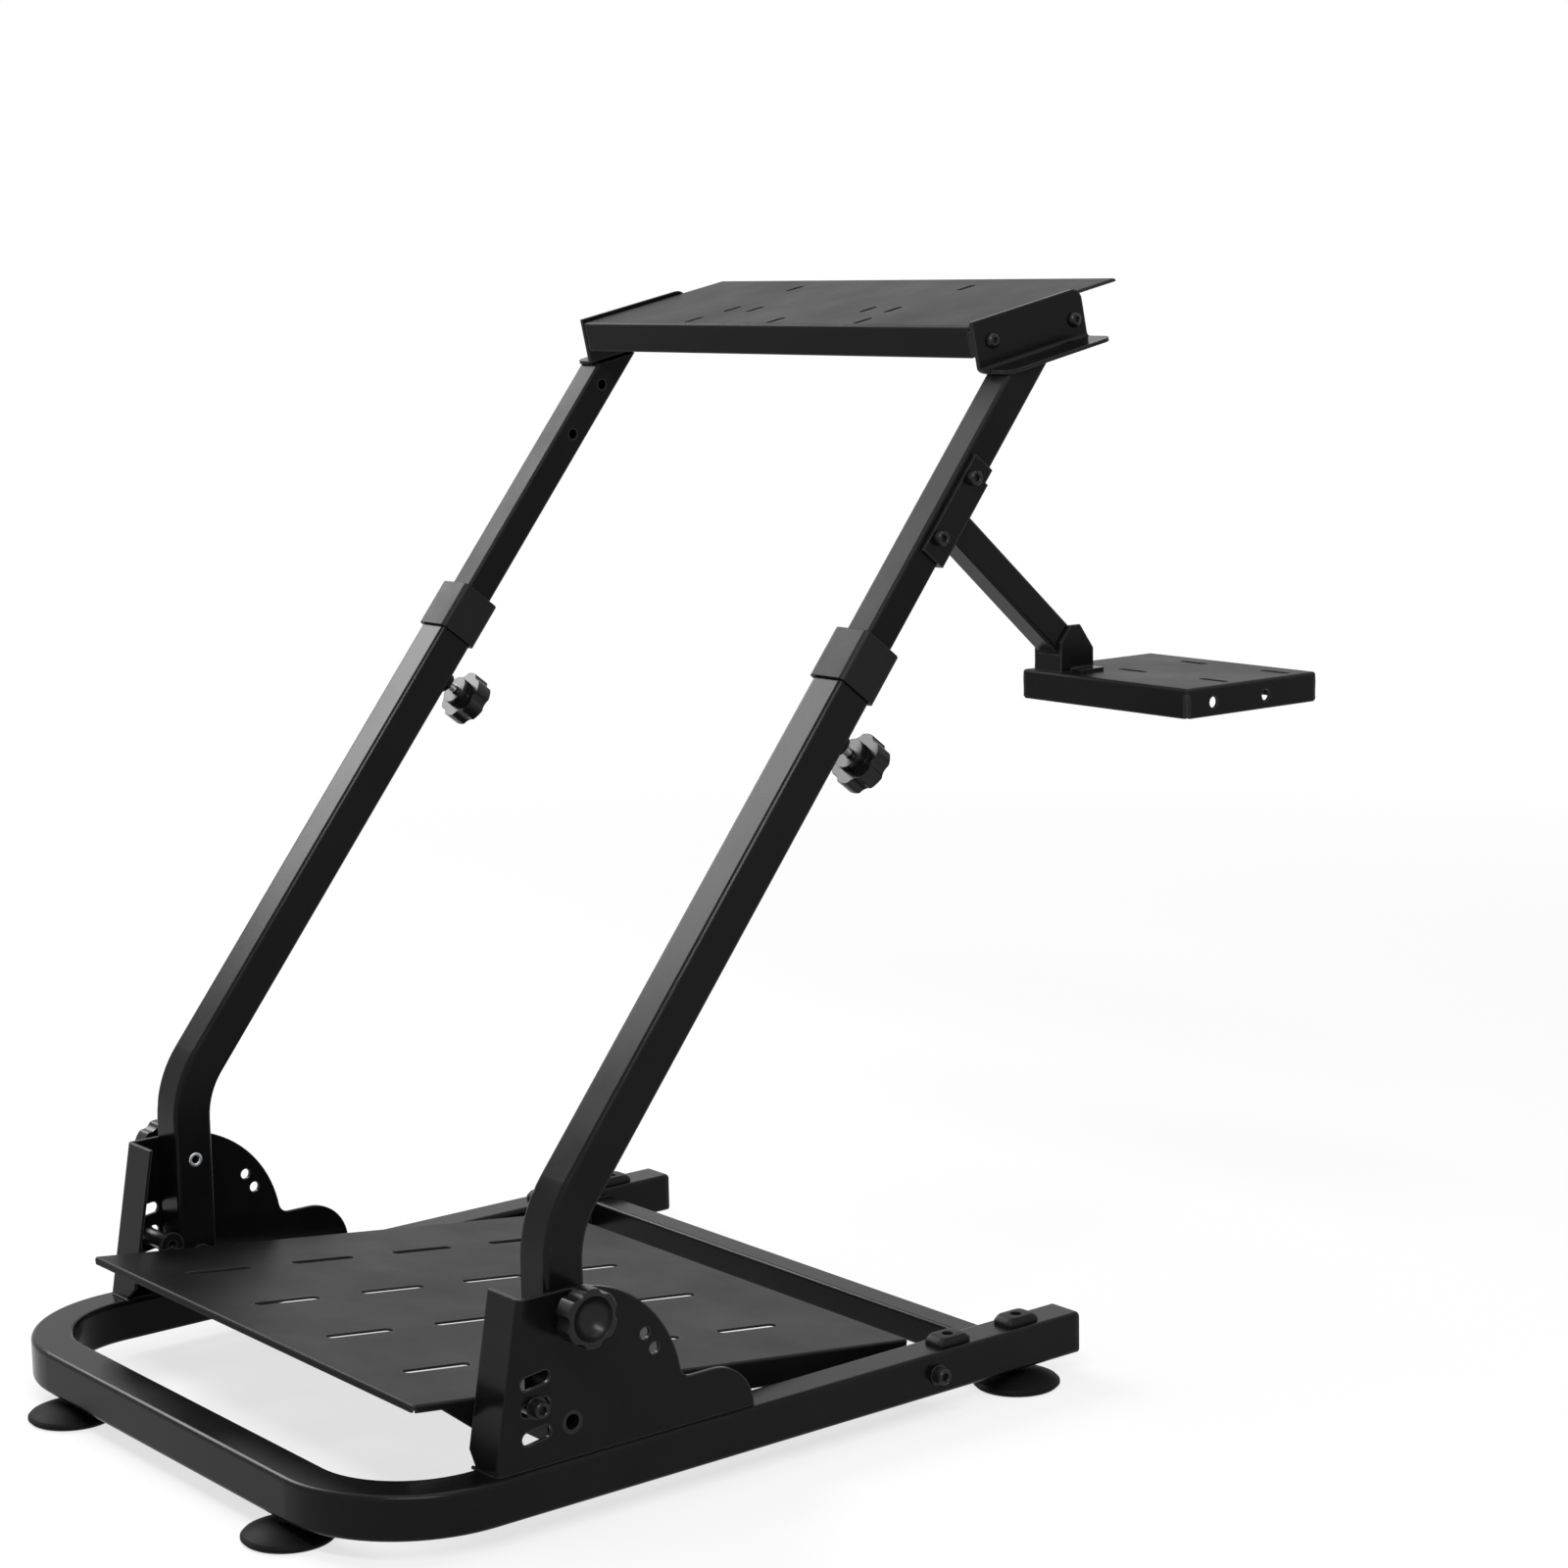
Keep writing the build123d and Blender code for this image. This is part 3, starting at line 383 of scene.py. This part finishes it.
def button_head(centre, direction, head, height, socket):
    """Low domed head with a hexagonal recess."""
    rim = head / 2
    mouth = socket / 2 + BUTTON_MOUTH
    rise = (height - HEAD_EASE) / math.sin(DOME_TURN)
    floor_drop = BUTTON_RECESS_DEPTH + BUTTON_RECESS_CONE

    def recess(angle):
        return hexagon_radius(angle, socket)

    rows = [(MIDDLE, 0.0), (rim - BUTTON_EASE, 0.0), (rim, HEAD_EASE)]
    for k in range(1, DOME_STEPS + 1):
        turn = DOME_TURN * k / DOME_STEPS
        rows.append((mouth + (rim - mouth) * math.cos(turn), HEAD_EASE + rise * math.sin(turn)))
    rows += [(socket / 2 + BUTTON_LIP, height), (recess, height - BUTTON_RECESS_START)]
    rows += [(recess, height - BUTTON_RECESS_DEPTH), (MIDDLE, height - floor_drop)]
    return turned(rows, centre, direction)


def hex_nut(centre, direction, across, height, bore):
    """Hexagonal nut with chamfered corners and a countersunk bore."""
    flat = across / 2
    hole = bore / 2

    def outer(angle):
        return hexagon_radius(angle, across)

    def clipped(angle):
        return min(outer(angle), flat * NUT_CLIP)

    def drop(angle):
        return NUT_CORNER_EASE + (outer(angle) - flat * NUT_DROP_FROM) * NUT_DROP_SLOPE

    rows = [
        (hole, height * NUT_BORE_START),
        (hole, NUT_COUNTERSINK),
        (hole + NUT_COUNTERSINK, 0.0),
        (flat * NUT_FACE, 0.0),
        (clipped, NUT_FACE_EASE),
        (outer, drop),
        (outer, lambda angle: height - drop(angle)),
        (clipped, height - NUT_FACE_EASE),
        (flat * NUT_FACE, height),
        (hole + NUT_COUNTERSINK, height),
        (hole, height - NUT_COUNTERSINK),
    ]
    return turned(rows, centre, direction)


def washer(centre, direction, outer, bore, thick):
    """Flat ring with eased edges."""
    rim = outer / 2
    hole = bore / 2
    rows = [
        (hole, thick / 2),
        (hole, WASHER_HOLE_EASE),
        (hole + WASHER_HOLE_EASE, 0.0),
        (rim - WASHER_RIM_EASE, 0.0),
        (rim, WASHER_RIM_EASE),
        (rim, thick - WASHER_RIM_EASE),
        (rim - WASHER_RIM_EASE, thick),
        (hole + WASHER_HOLE_EASE, thick),
        (hole, thick - WASHER_HOLE_EASE),
    ]
    return turned(rows, centre, direction)


def thread(centre, direction, diameter, length, pitch):
    """Rod with a true helical thread and chamfered ends."""
    u, v, w = axes_for(direction)
    crest = diameter / 2
    root = crest - THREAD_DEPTH * pitch
    levels = (root, root, crest, crest)
    per_pitch = len(levels)
    count = int(round(length / pitch)) * per_pitch
    segments = THREAD_SEGMENTS
    verts, faces = [], []
    for i in range(count + 1):
        for k in range(segments):
            height = min((i / per_pitch + k / segments) * pitch, length)
            end = max(min(height, length - height), 0.0)
            radius = min(levels[i % per_pitch], root + end * THREAD_END_SLOPE)
            verts.append(centre + spoke(u, v, k, segments) * (radius / PER_METRE) + w * (height / PER_METRE))
    for i in range(count):
        for k in range(segments - 1):
            a = i * segments + k
            faces.append((a, a + 1, a + segments + 1, a + segments))
        if i + 1 + per_pitch <= count:
            a = i * segments + segments - 1
            b = (i + per_pitch) * segments
            faces.append((a, b, b + segments, a + segments))
    return verts, faces


M8_CAP = {"head": 13.0, "height": 8.0, "socket": 6.0, "depth": 4.0}
M8_NUT = {"across": 13.0, "height": 6.5, "bore": 7.4}
M8_ROD = {"diameter": 7.8, "pitch": 1.25}
M8_WASHER = {"bore": 8.4, "thick": 1.6}
M8_STUD = {"diameter": 8.0, "pitch": 1.25}
M6_CAP = {"head": 12.0, "height": 6.5, "socket": 5.0, "depth": 3.2}
M6_BUTTON = {"head": 12.5, "height": 4.0, "socket": 4.0}
M6_NUT = {"across": 10.0, "height": 5.5, "bore": 5.4}
M6_LOW_NUT = {"across": 10.0, "height": 4.4, "bore": 5.4}
M6_ROD = {"diameter": 5.8, "pitch": 1.0}
M6_SCREW = {"diameter": 5.9, "pitch": 1.0}
M6_WASHER = {"outer": 15.0, "bore": 6.4, "thick": 1.4}

# Bolts that hold the pedal plate: socket heads outside, nuts inside the plate
REAR_WASHER = 17.0
REAR_TAIL = 9.0
REAR_NUT_GAP = 0.2
FRONT_WASHER = 18.0
FRONT_TAIL_X = 246.4
FRONT_TAIL = 8.0
pedal_inner = PEDAL_HALF - PEDAL_SHEET
nut_x = pedal_inner - REAR_NUT_GAP - M8_NUT["height"]
for side, sign in SIDES:
    out = X_AXIS * sign
    under_head = out * (M8_WASHER["thick"] / PER_METRE)
    rail_face = at(sign * BASE_HALF, *PEDAL_BOLT)
    bolt = merge(
        washer(rail_face, out, REAR_WASHER, **M8_WASHER),
        cap_head(rail_face + under_head, out, **M8_CAP),
        thread(at(sign * (pedal_inner - REAR_TAIL), *PEDAL_BOLT), out, length=REAR_TAIL, **M8_ROD),
        hex_nut(at(sign * nut_x, *PEDAL_BOLT), out, **M8_NUT),
    )
    mesh_piece("rear_pedal_bolt_" + side, *bolt, black_steel, "base", "black_steel")
    web_face = at(sign * BRACKET_X, *PEDAL_FRONT_BOLT)
    bolt = merge(
        washer(web_face, out, FRONT_WASHER, **M8_WASHER),
        cap_head(web_face + under_head, out, **M8_CAP),
        thread(at(sign * FRONT_TAIL_X, *PEDAL_FRONT_BOLT), out, length=FRONT_TAIL, **M8_ROD),
    )
    mesh_piece("front_pedal_bolt_" + side, *bolt, black_steel, "base", "black_steel")

# Bolts of the shifter saddle, with nuts on the inner cheek
SADDLE_TAIL = 8.8
SADDLE_THREAD = 9.0
saddle_half = INNER_TUBE / 2 + SHEET
for index, along in enumerate(SADDLE_BOLTS):
    outer = on_upright(UPRIGHT_X + saddle_half, along)
    inner = on_upright(UPRIGHT_X - saddle_half, along)
    bolt = merge(
        cap_head(outer, X_AXIS, **M6_CAP),
        washer(inner, -X_AXIS, **M6_WASHER),
        hex_nut(inner - X_AXIS * (M6_WASHER["thick"] / PER_METRE), -X_AXIS, **M6_NUT),
        thread(inner - X_AXIS * (SADDLE_TAIL / PER_METRE), X_AXIS, length=SADDLE_THREAD, **M6_ROD),
    )
    mesh_piece("saddle_bolt_" + str(index + 1), *bolt, black_steel, "mast", "black_steel")

# Tilt screws in place of the plain bolts, with nuts inside the tray
TILT_TAIL = 5.0
TILT_THREAD = 11.0
tail_x = PLATE_HALF - PLATE_SHEET - TILT_TAIL
nut_gap = TILT_TAIL - M6_LOW_NUT["height"]
for side, sign in SIDES:
    out = X_AXIS * sign
    for kind, spot in (("pivot", TILT_PIVOT), ("clamp", TILT_CLAMP)):
        tail = on_plate(sign * tail_x, *spot)
        bolt = merge(
            button_head(on_plate(sign * WEB_OUTER, *spot), out, **M6_BUTTON),
            thread(tail, out, length=TILT_THREAD, **M6_SCREW),
            hex_nut(tail + out * (nut_gap / PER_METRE), out, **M6_LOW_NUT),
        )
        name = "tilt_" + kind + "_bolt_" + side
        piece = mesh_piece("tilt_" + kind + "_screw_" + side, *bolt, black_steel, "mast", "black_steel")
        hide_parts(name)

# Threaded studs of the knobs, and the inserts that the lock studs enter
HEIGHT_STUD_SUNK = 3.0
HEIGHT_STUD = 21.0
LOCK_STUD = 9.0
INSERT_SEGMENTS = 48
INSERT_RING = (
    (3.4, -4.0), (3.4, 0.2), (3.8, 0.7), (5.2, 0.9), (6.0, 0.7),
    (6.3, 0.3), (6.3, 0.0), (4.4, 0.0), (4.4, -4.0), (3.4, -4.0),
)
knob_out = Vector((0, math.sin(LEAN), -math.cos(LEAN)))
sunk = knob_out * (HEIGHT_STUD_SUNK / PER_METRE)
for side, sign in SIDES:
    start = on_upright(sign * UPRIGHT_X, HEIGHT_KNOB_AT, -TUBE / 2) - sunk
    stud = thread(start, knob_out, length=HEIGHT_STUD, **M8_STUD)
    piece = mesh_piece("height_screw_" + side, *stud, zinc, "height_knob_" + side + "_body", "zinc_steel")
    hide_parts("height_stud_" + side)
    stud = thread(at(sign * BRACKET_INNER, PIVOT_Y, LOCK_Z), X_AXIS * sign, length=LOCK_STUD, **M8_STUD)
    piece = mesh_piece("lock_screw_" + side, *stud, zinc, "lock_knob_" + side + "_body", "zinc_steel")
    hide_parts("lock_stud_" + side)
    inner_face = at(sign * (UPRIGHT_X - TUBE / 2), PIVOT_Y, LOCK_Z)
    insert = turned(INSERT_RING, inner_face, X_AXIS * -sign, INSERT_SEGMENTS, capped=False)
    mesh_piece("lock_insert_" + side, *insert, zinc, "uprights", "zinc_steel")

# Moulded blocks on the rails; a row has its shares of length and width, its squareness and its height
BLOCK_HALF_LONG = 17.0
BLOCK_HALF_WIDE = 10.5
BLOCK_TALL = 7.0
BLOCK_ROWS = (
    (1.0, 1.0, 7.0, 0.0),
    (1.0, 1.0, 7.0, 2.4),
    (0.97, 0.985, 6.5, 3.6),
    (0.80, 0.95, 6.0, 6.0),
    (0.74, 0.90, 5.5, 6.8),
    (0.70, 0.85, 5.0, BLOCK_TALL),
)
BLOCK_HOLE = 4.6
BLOCK_HOLE_EASE = 0.5
BLOCK_HOLE_FLOOR = 1.2
BLOCK_SEGMENTS = 48
BLOCK_PLACES = (("front", 561.0), ("rear", 636.0))


def rail_block(x, y):
    """Low block with sloping ends, rounded shoulders and a round hole in its top."""
    angles = [2 * math.pi * (k + 0.5) / BLOCK_SEGMENTS for k in range(BLOCK_SEGMENTS)]

    def squared(value, size, squareness):
        return math.copysign(abs(value) ** (2.0 / squareness), value) * size

    def outline(long_share, wide_share, squareness):
        wide = BLOCK_HALF_WIDE * wide_share
        long = BLOCK_HALF_LONG * long_share
        return [
            (squared(math.cos(a), wide, squareness), squared(math.sin(a), long, squareness))
            for a in angles
        ]

    def circle(radius):
        return [(math.cos(a) * radius, math.sin(a) * radius) for a in angles]

    rows = [(outline(*shares), height) for *shares, height in BLOCK_ROWS]
    rows.append((circle(BLOCK_HOLE + BLOCK_HOLE_EASE), BLOCK_TALL))
    rows.append((circle(BLOCK_HOLE), BLOCK_TALL - BLOCK_HOLE_EASE))
    rows.append((circle(BLOCK_HOLE), BLOCK_HOLE_FLOOR))
    verts, faces = [], []
    for points, height in rows:
        verts.extend(at(x + a, y + b, RAIL_TOP + height) for a, b in points)
    for i in range(len(rows) - 1):
        low = i * BLOCK_SEGMENTS
        high = low + BLOCK_SEGMENTS
        for k in range(BLOCK_SEGMENTS):
            n = (k + 1) % BLOCK_SEGMENTS
            faces.append((low + k, low + n, high + n, high + k))
    faces.append(tuple(reversed(range(BLOCK_SEGMENTS))))
    faces.append(tuple(range(len(verts) - BLOCK_SEGMENTS, len(verts))))
    return verts, faces


for side, sign in SIDES:
    for label, y in BLOCK_PLACES:
        block = rail_block(sign * RAIL_X, y)
        mesh_piece("rail_block_" + label + "_" + side, *block, plastic, "base", "black_plastic")

# Weld beads under the paint, in millimetres
BEAD_STEP = 0.65
BEAD_SIDES = 10
BEAD_PITCH = 2.6
BEAD_RIPPLE = 0.16
BEAD_WAVER = 0.06
BEAD_WAVER_PACE = 0.37
BEAD_END = 0.25
BEAD_END_GROWTH = 0.5


def bead(points, radius, ripple=BEAD_RIPPLE, closed=False):
    """Rippled tube along a line of points in metres, with a radius in millimetres."""
    dense = []
    ends = points[1:] + points[:1] if closed else points[1:]
    for a, b in zip(points, ends):
        steps = max(2, int((b - a).length * PER_METRE / BEAD_STEP))
        dense.extend(a.lerp(b, k / steps) for k in range(steps))
    if not closed:
        dense.append(points[-1])
    rings = len(dense)
    verts, faces = [], []
    run = 0.0
    for i, point in enumerate(dense):
        before = dense[i - 1] if i or closed else point
        after = dense[(i + 1) % rings] if i + 1 < rings or closed else point
        u, v, w = axes_for(after - before)
        run += (point - before).length * PER_METRE if i else 0.0
        waver = BEAD_WAVER * math.sin(run * BEAD_WAVER_PACE)
        swell = 1 + ripple * abs(math.sin(math.pi * run / BEAD_PITCH)) + waver
        if not closed:
            swell *= min(1.0, BEAD_END + BEAD_END_GROWTH * min(i, rings - 1 - i))
        reach = radius * swell / PER_METRE
        verts.extend(point + spoke(u, v, k, BEAD_SIDES) * reach for k in range(BEAD_SIDES))
    for i in range(rings if closed else rings - 1):
        here = i * BEAD_SIDES
        there = (i + 1) % rings * BEAD_SIDES
        for k in range(BEAD_SIDES):
            n = (k + 1) % BEAD_SIDES
            faces.append((here + k, here + n, there + n, there + k))
    if not closed:
        faces.append(tuple(reversed(range(BEAD_SIDES))))
        faces.append(tuple(range(len(verts) - BEAD_SIDES, len(verts))))
    return verts, faces


def weld_bead(name, points, radius, body, closed=False):
    mesh_piece(name, *bead(points, radius, closed=closed), weld, body, "powder_coat")


WIDE_WELD = 1.6
ARM_WELD = 1.5
FINE_WELD = 1.3
BRACKET_WELD_Y = (122.0, 348.0)
FLANGE_WELD_X = (262.0, 291.0)
FLANGE_WELD_Z = RAIL_TOP + 0.3
BAR_WELD_HALF = 10.0
BOSS_WELD_RADIUS = 9.4
BOSS_WELD_POINTS = 48
ARM_WELD_X = 12.6
ARM_WELD_HALF = 11.0
ARM_WELD_OFFSET = -17.2
bar_half = CROSS_TUBE / 2
bar_span = (-BAR_WELD_HALF, BAR_WELD_HALF)
for side, sign in SIDES:
    line = [at(sign * BRACKET_INNER, y, RAIL_TOP) for y in BRACKET_WELD_Y]
    weld_bead("bracket_weld_" + side, line, WIDE_WELD, "base")
    line = [at(sign * x, BRACKET_FOOT_Y, FLANGE_WELD_Z) for x in FLANGE_WELD_X]
    weld_bead("flange_weld_" + side, line, FINE_WELD, "base")
    for label, y in (("front", CROSS_Y - bar_half), ("rear", CROSS_Y + bar_half)):
        line = [at(sign * RAIL_INNER, y, CROSS_Z + rise) for rise in bar_span]
        weld_bead("bar_weld_" + label + "_" + side, line, WIDE_WELD, "base")
    line = [at(sign * RAIL_INNER, CROSS_Y + run, CROSS_Z + bar_half) for run in bar_span]
    weld_bead("bar_weld_top_" + side, line, WIDE_WELD, "base")
    centre = on_upright(sign * UPRIGHT_X, HEIGHT_KNOB_AT, -TUBE / 2)
    u, v, w = axes_for(knob_out)
    reach = BOSS_WELD_RADIUS / PER_METRE
    ring = [centre + spoke(u, v, k, BOSS_WELD_POINTS) * reach for k in range(BOSS_WELD_POINTS)]
    weld_bead("boss_weld_" + side, ring, FINE_WELD, "uprights", closed=True)
for label, x in (("near", UPRIGHT_X + ARM_WELD_X), ("far", UPRIGHT_X - ARM_WELD_X)):
    line = [on_upright(x, ARM_AT + run, ARM_WELD_OFFSET) for run in (-ARM_WELD_HALF, ARM_WELD_HALF)]
    weld_bead("arm_weld_" + label, line, ARM_WELD, "mast")

# Filled seams in the corners of the trays, in millimetres
SEAM_RADIUS = 1.7
SEAM_INSET = 1.9
SEAM_RIPPLE = 0.05
SEAM_START = 1.0
SEAM_END = 0.4


def corner_seam(name, place, top, sheet, flange, body):
    """Seam from under a tray's sheet to just above the edge of its flange; place gives a point by height."""
    line = [place(top - sheet - SEAM_START), place(top - flange + SEAM_END)]
    mesh_piece(name, *bead(line, SEAM_RADIUS, SEAM_RIPPLE), plate_powder, body, "powder_coat")


for side, sign in SIDES:
    x = sign * (PLATE_HALF - SEAM_INSET)
    corner_seam(
        "wheel_seam_" + side, lambda up: on_plate(x, SEAM_INSET, up), 0.0, PLATE_SHEET,
        PLATE_FLANGE, "wheel_deck",
    )
    x = sign * (PEDAL_HALF - SEAM_INSET)
    corner_seam(
        "pedal_seam_" + side, lambda up: on_pedal(x, SEAM_INSET - PEDAL_REAR, up), PEDAL_TOP, PEDAL_SHEET,
        PEDAL_FLANGE, "base",
    )
for across, x in (("inner", SHIFTER_X[0] + SEAM_INSET), ("outer", SHIFTER_X[1] - SEAM_INSET)):
    for deep, y in (("front", SHIFTER_Y[0] + SEAM_INSET), ("rear", SHIFTER_Y[1] - SEAM_INSET)):
        corner_seam(
            "shifter_seam_" + across + "_" + deep, lambda z: at(x, y, z), SHIFTER_TOP, PLATE_SHEET,
            SHIFTER_FLANGE, "mast",
        )

# Floor and background, in metres
FLOOR_HALF = 30.0
FLOOR_Z = -0.0005
FLOOR_GREY = 0.86
FLOOR_ROUGHNESS = 0.8
FLOOR_WHITE = (0.72, 1.0)
FLOOR_FADE = (0.9, 3.2)
SOFT_LIGHT = 0.3
WHITE = (1.0, 1.0, 1.0, 1.0)


def white_where_seen(tree):
    """One for camera, glossy and transmission rays, so that metal shows the white background too."""
    path = tree.nodes.new("ShaderNodeLightPath")
    seen = node(tree, "ShaderNodeMath", operation="MAXIMUM")
    tree.links.new(path.outputs["Is Camera Ray"], seen.inputs[0])
    tree.links.new(path.outputs["Is Glossy Ray"], seen.inputs[1])
    clear = node(tree, "ShaderNodeMath", operation="MAXIMUM")
    tree.links.new(seen.outputs["Value"], clear.inputs[0])
    tree.links.new(path.outputs["Is Transmission Ray"], clear.inputs[1])
    return clear.outputs["Value"]


def paper_material():
    """Pale paper that fades to the white of the background away from the stand."""
    paper, tree, shader = new_material("pale_floor")
    shader.inputs["Base Color"].default_value = (FLOOR_GREY, FLOOR_GREY, FLOOR_GREY, 1.0)
    shader.inputs["Roughness"].default_value = FLOOR_ROUGHNESS
    shader.inputs["Specular IOR Level"].default_value = 0.0
    place = node(tree, "ShaderNodeNewGeometry")
    reach = node(tree, "ShaderNodeVectorMath", operation="LENGTH")
    tree.links.new(place.outputs["Position"], reach.inputs[0])
    share = ramp(tree, reach.outputs["Value"], *FLOOR_WHITE, *FLOOR_FADE)
    share_seen = node(tree, "ShaderNodeMath", operation="MULTIPLY")
    tree.links.new(share, share_seen.inputs[0])
    tree.links.new(white_where_seen(tree), share_seen.inputs[1])
    glow = node(tree, "ShaderNodeEmission", Strength=1.0, Color=WHITE)
    mixed = tree.nodes.new("ShaderNodeMixShader")
    tree.links.new(share_seen.outputs["Value"], mixed.inputs["Fac"])
    tree.links.new(shader.outputs["BSDF"], mixed.inputs[1])
    tree.links.new(glow.outputs["Emission"], mixed.inputs[2])
    tree.links.new(mixed.outputs["Shader"], tree.nodes["Material Output"].inputs["Surface"])
    return paper


floor_corners = [(x * FLOOR_HALF, y * FLOOR_HALF, FLOOR_Z) for x, y in ((-1, -1), (1, -1), (1, 1), (-1, 1))]
floor_mesh = bpy.data.meshes.new("floor")
floor_mesh.from_pydata(floor_corners, [], [(0, 1, 2, 3)])
floor_mesh.materials.append(paper_material())
floor = bpy.data.objects.new("floor", floor_mesh)
bpy.context.scene.collection.objects.link(floor)

world = bpy.data.worlds.new("studio")
bpy.context.scene.world = world
world.use_nodes = True
tree = world.node_tree
tree.nodes.clear()
white = node(tree, "ShaderNodeBackground", Strength=1.0, Color=WHITE)
soft = node(tree, "ShaderNodeBackground", Strength=SOFT_LIGHT, Color=WHITE)
mixed = tree.nodes.new("ShaderNodeMixShader")
output = tree.nodes.new("ShaderNodeOutputWorld")
tree.links.new(white_where_seen(tree), mixed.inputs["Fac"])
tree.links.new(soft.outputs["Background"], mixed.inputs[1])
tree.links.new(white.outputs["Background"], mixed.inputs[2])
tree.links.new(mixed.outputs["Shader"], output.inputs["Surface"])


# Lamps, in metres and watts
def lamp(name, place, target, size, watts, along=(1.0, 0.0, 0.0)):
    """Softbox that faces a target, its first side along a direction."""
    data = bpy.data.lights.new(name, "AREA")
    data.shape = "RECTANGLE"
    data.size, data.size_y = size
    data.energy = watts
    obj = bpy.data.objects.new(name, data)
    bpy.context.scene.collection.objects.link(obj)
    back = (Vector(place) - Vector(target)).normalized()
    upward = back.cross(Vector(along)).normalized()
    facing = Matrix((upward.cross(back), upward, back)).transposed().to_4x4()
    obj.matrix_world = Matrix.Translation(place) @ facing


lamp(
    "softbox_left", place=(-2.9, -0.5, 2.45), target=(0.0, 0.0, 0.6), size=(2.0, 1.4), watts=100.0,
    along=(0.0, 1.0, 0.0),
)
lamp("softbox_top", place=(0.2, 0.1, 3.4), target=(0.1, 0.1, 0.0), size=(2.2, 2.2), watts=32.0)
lamp(
    "strip_front", place=(1.885, -1.335, 2.35), target=(0.1, 0.0, 0.46), size=(2.0, 0.3), watts=62.0,
    along=(1.59, 0.95, -0.74),
)

# Camera, fitted to the photo; its place is in the design frame
SENSOR_WIDTH = 36.0
PHOTO_PIXELS = 1600.0
FOCAL_PIXELS = 3409.32
CAMERA_PLACE = (2227.83, -1157.70, 926.68)
CAMERA_TURN = math.radians(51.26)
CAMERA_RISE = math.radians(-9.10)
CAMERA_ROLL = math.radians(-1.12)
CLIP_END = 100.0
camera_data = bpy.data.cameras.new("camera")
camera_data.sensor_width = SENSOR_WIDTH
camera_data.lens = FOCAL_PIXELS * SENSOR_WIDTH / PHOTO_PIXELS
camera_data.clip_end = CLIP_END
camera = bpy.data.objects.new("camera", camera_data)
bpy.context.scene.collection.objects.link(camera)
level = math.cos(CAMERA_RISE)
ahead = Vector((-math.sin(CAMERA_TURN) * level, math.cos(CAMERA_TURN) * level, math.sin(CAMERA_RISE)))
right = Vector((math.cos(CAMERA_TURN), math.sin(CAMERA_TURN), 0.0))
above = right.cross(ahead)
right_rolled = right * math.cos(CAMERA_ROLL) + above * math.sin(CAMERA_ROLL)
above_rolled = above * math.cos(CAMERA_ROLL) - right * math.sin(CAMERA_ROLL)
camera_turn = Matrix((right_rolled, above_rolled, -ahead)).transposed().to_4x4()
camera.matrix_world = Matrix.Translation(at(*CAMERA_PLACE)) @ camera_turn
bpy.context.scene.camera = camera
bpy.context.scene.view_settings.view_transform = "Standard"
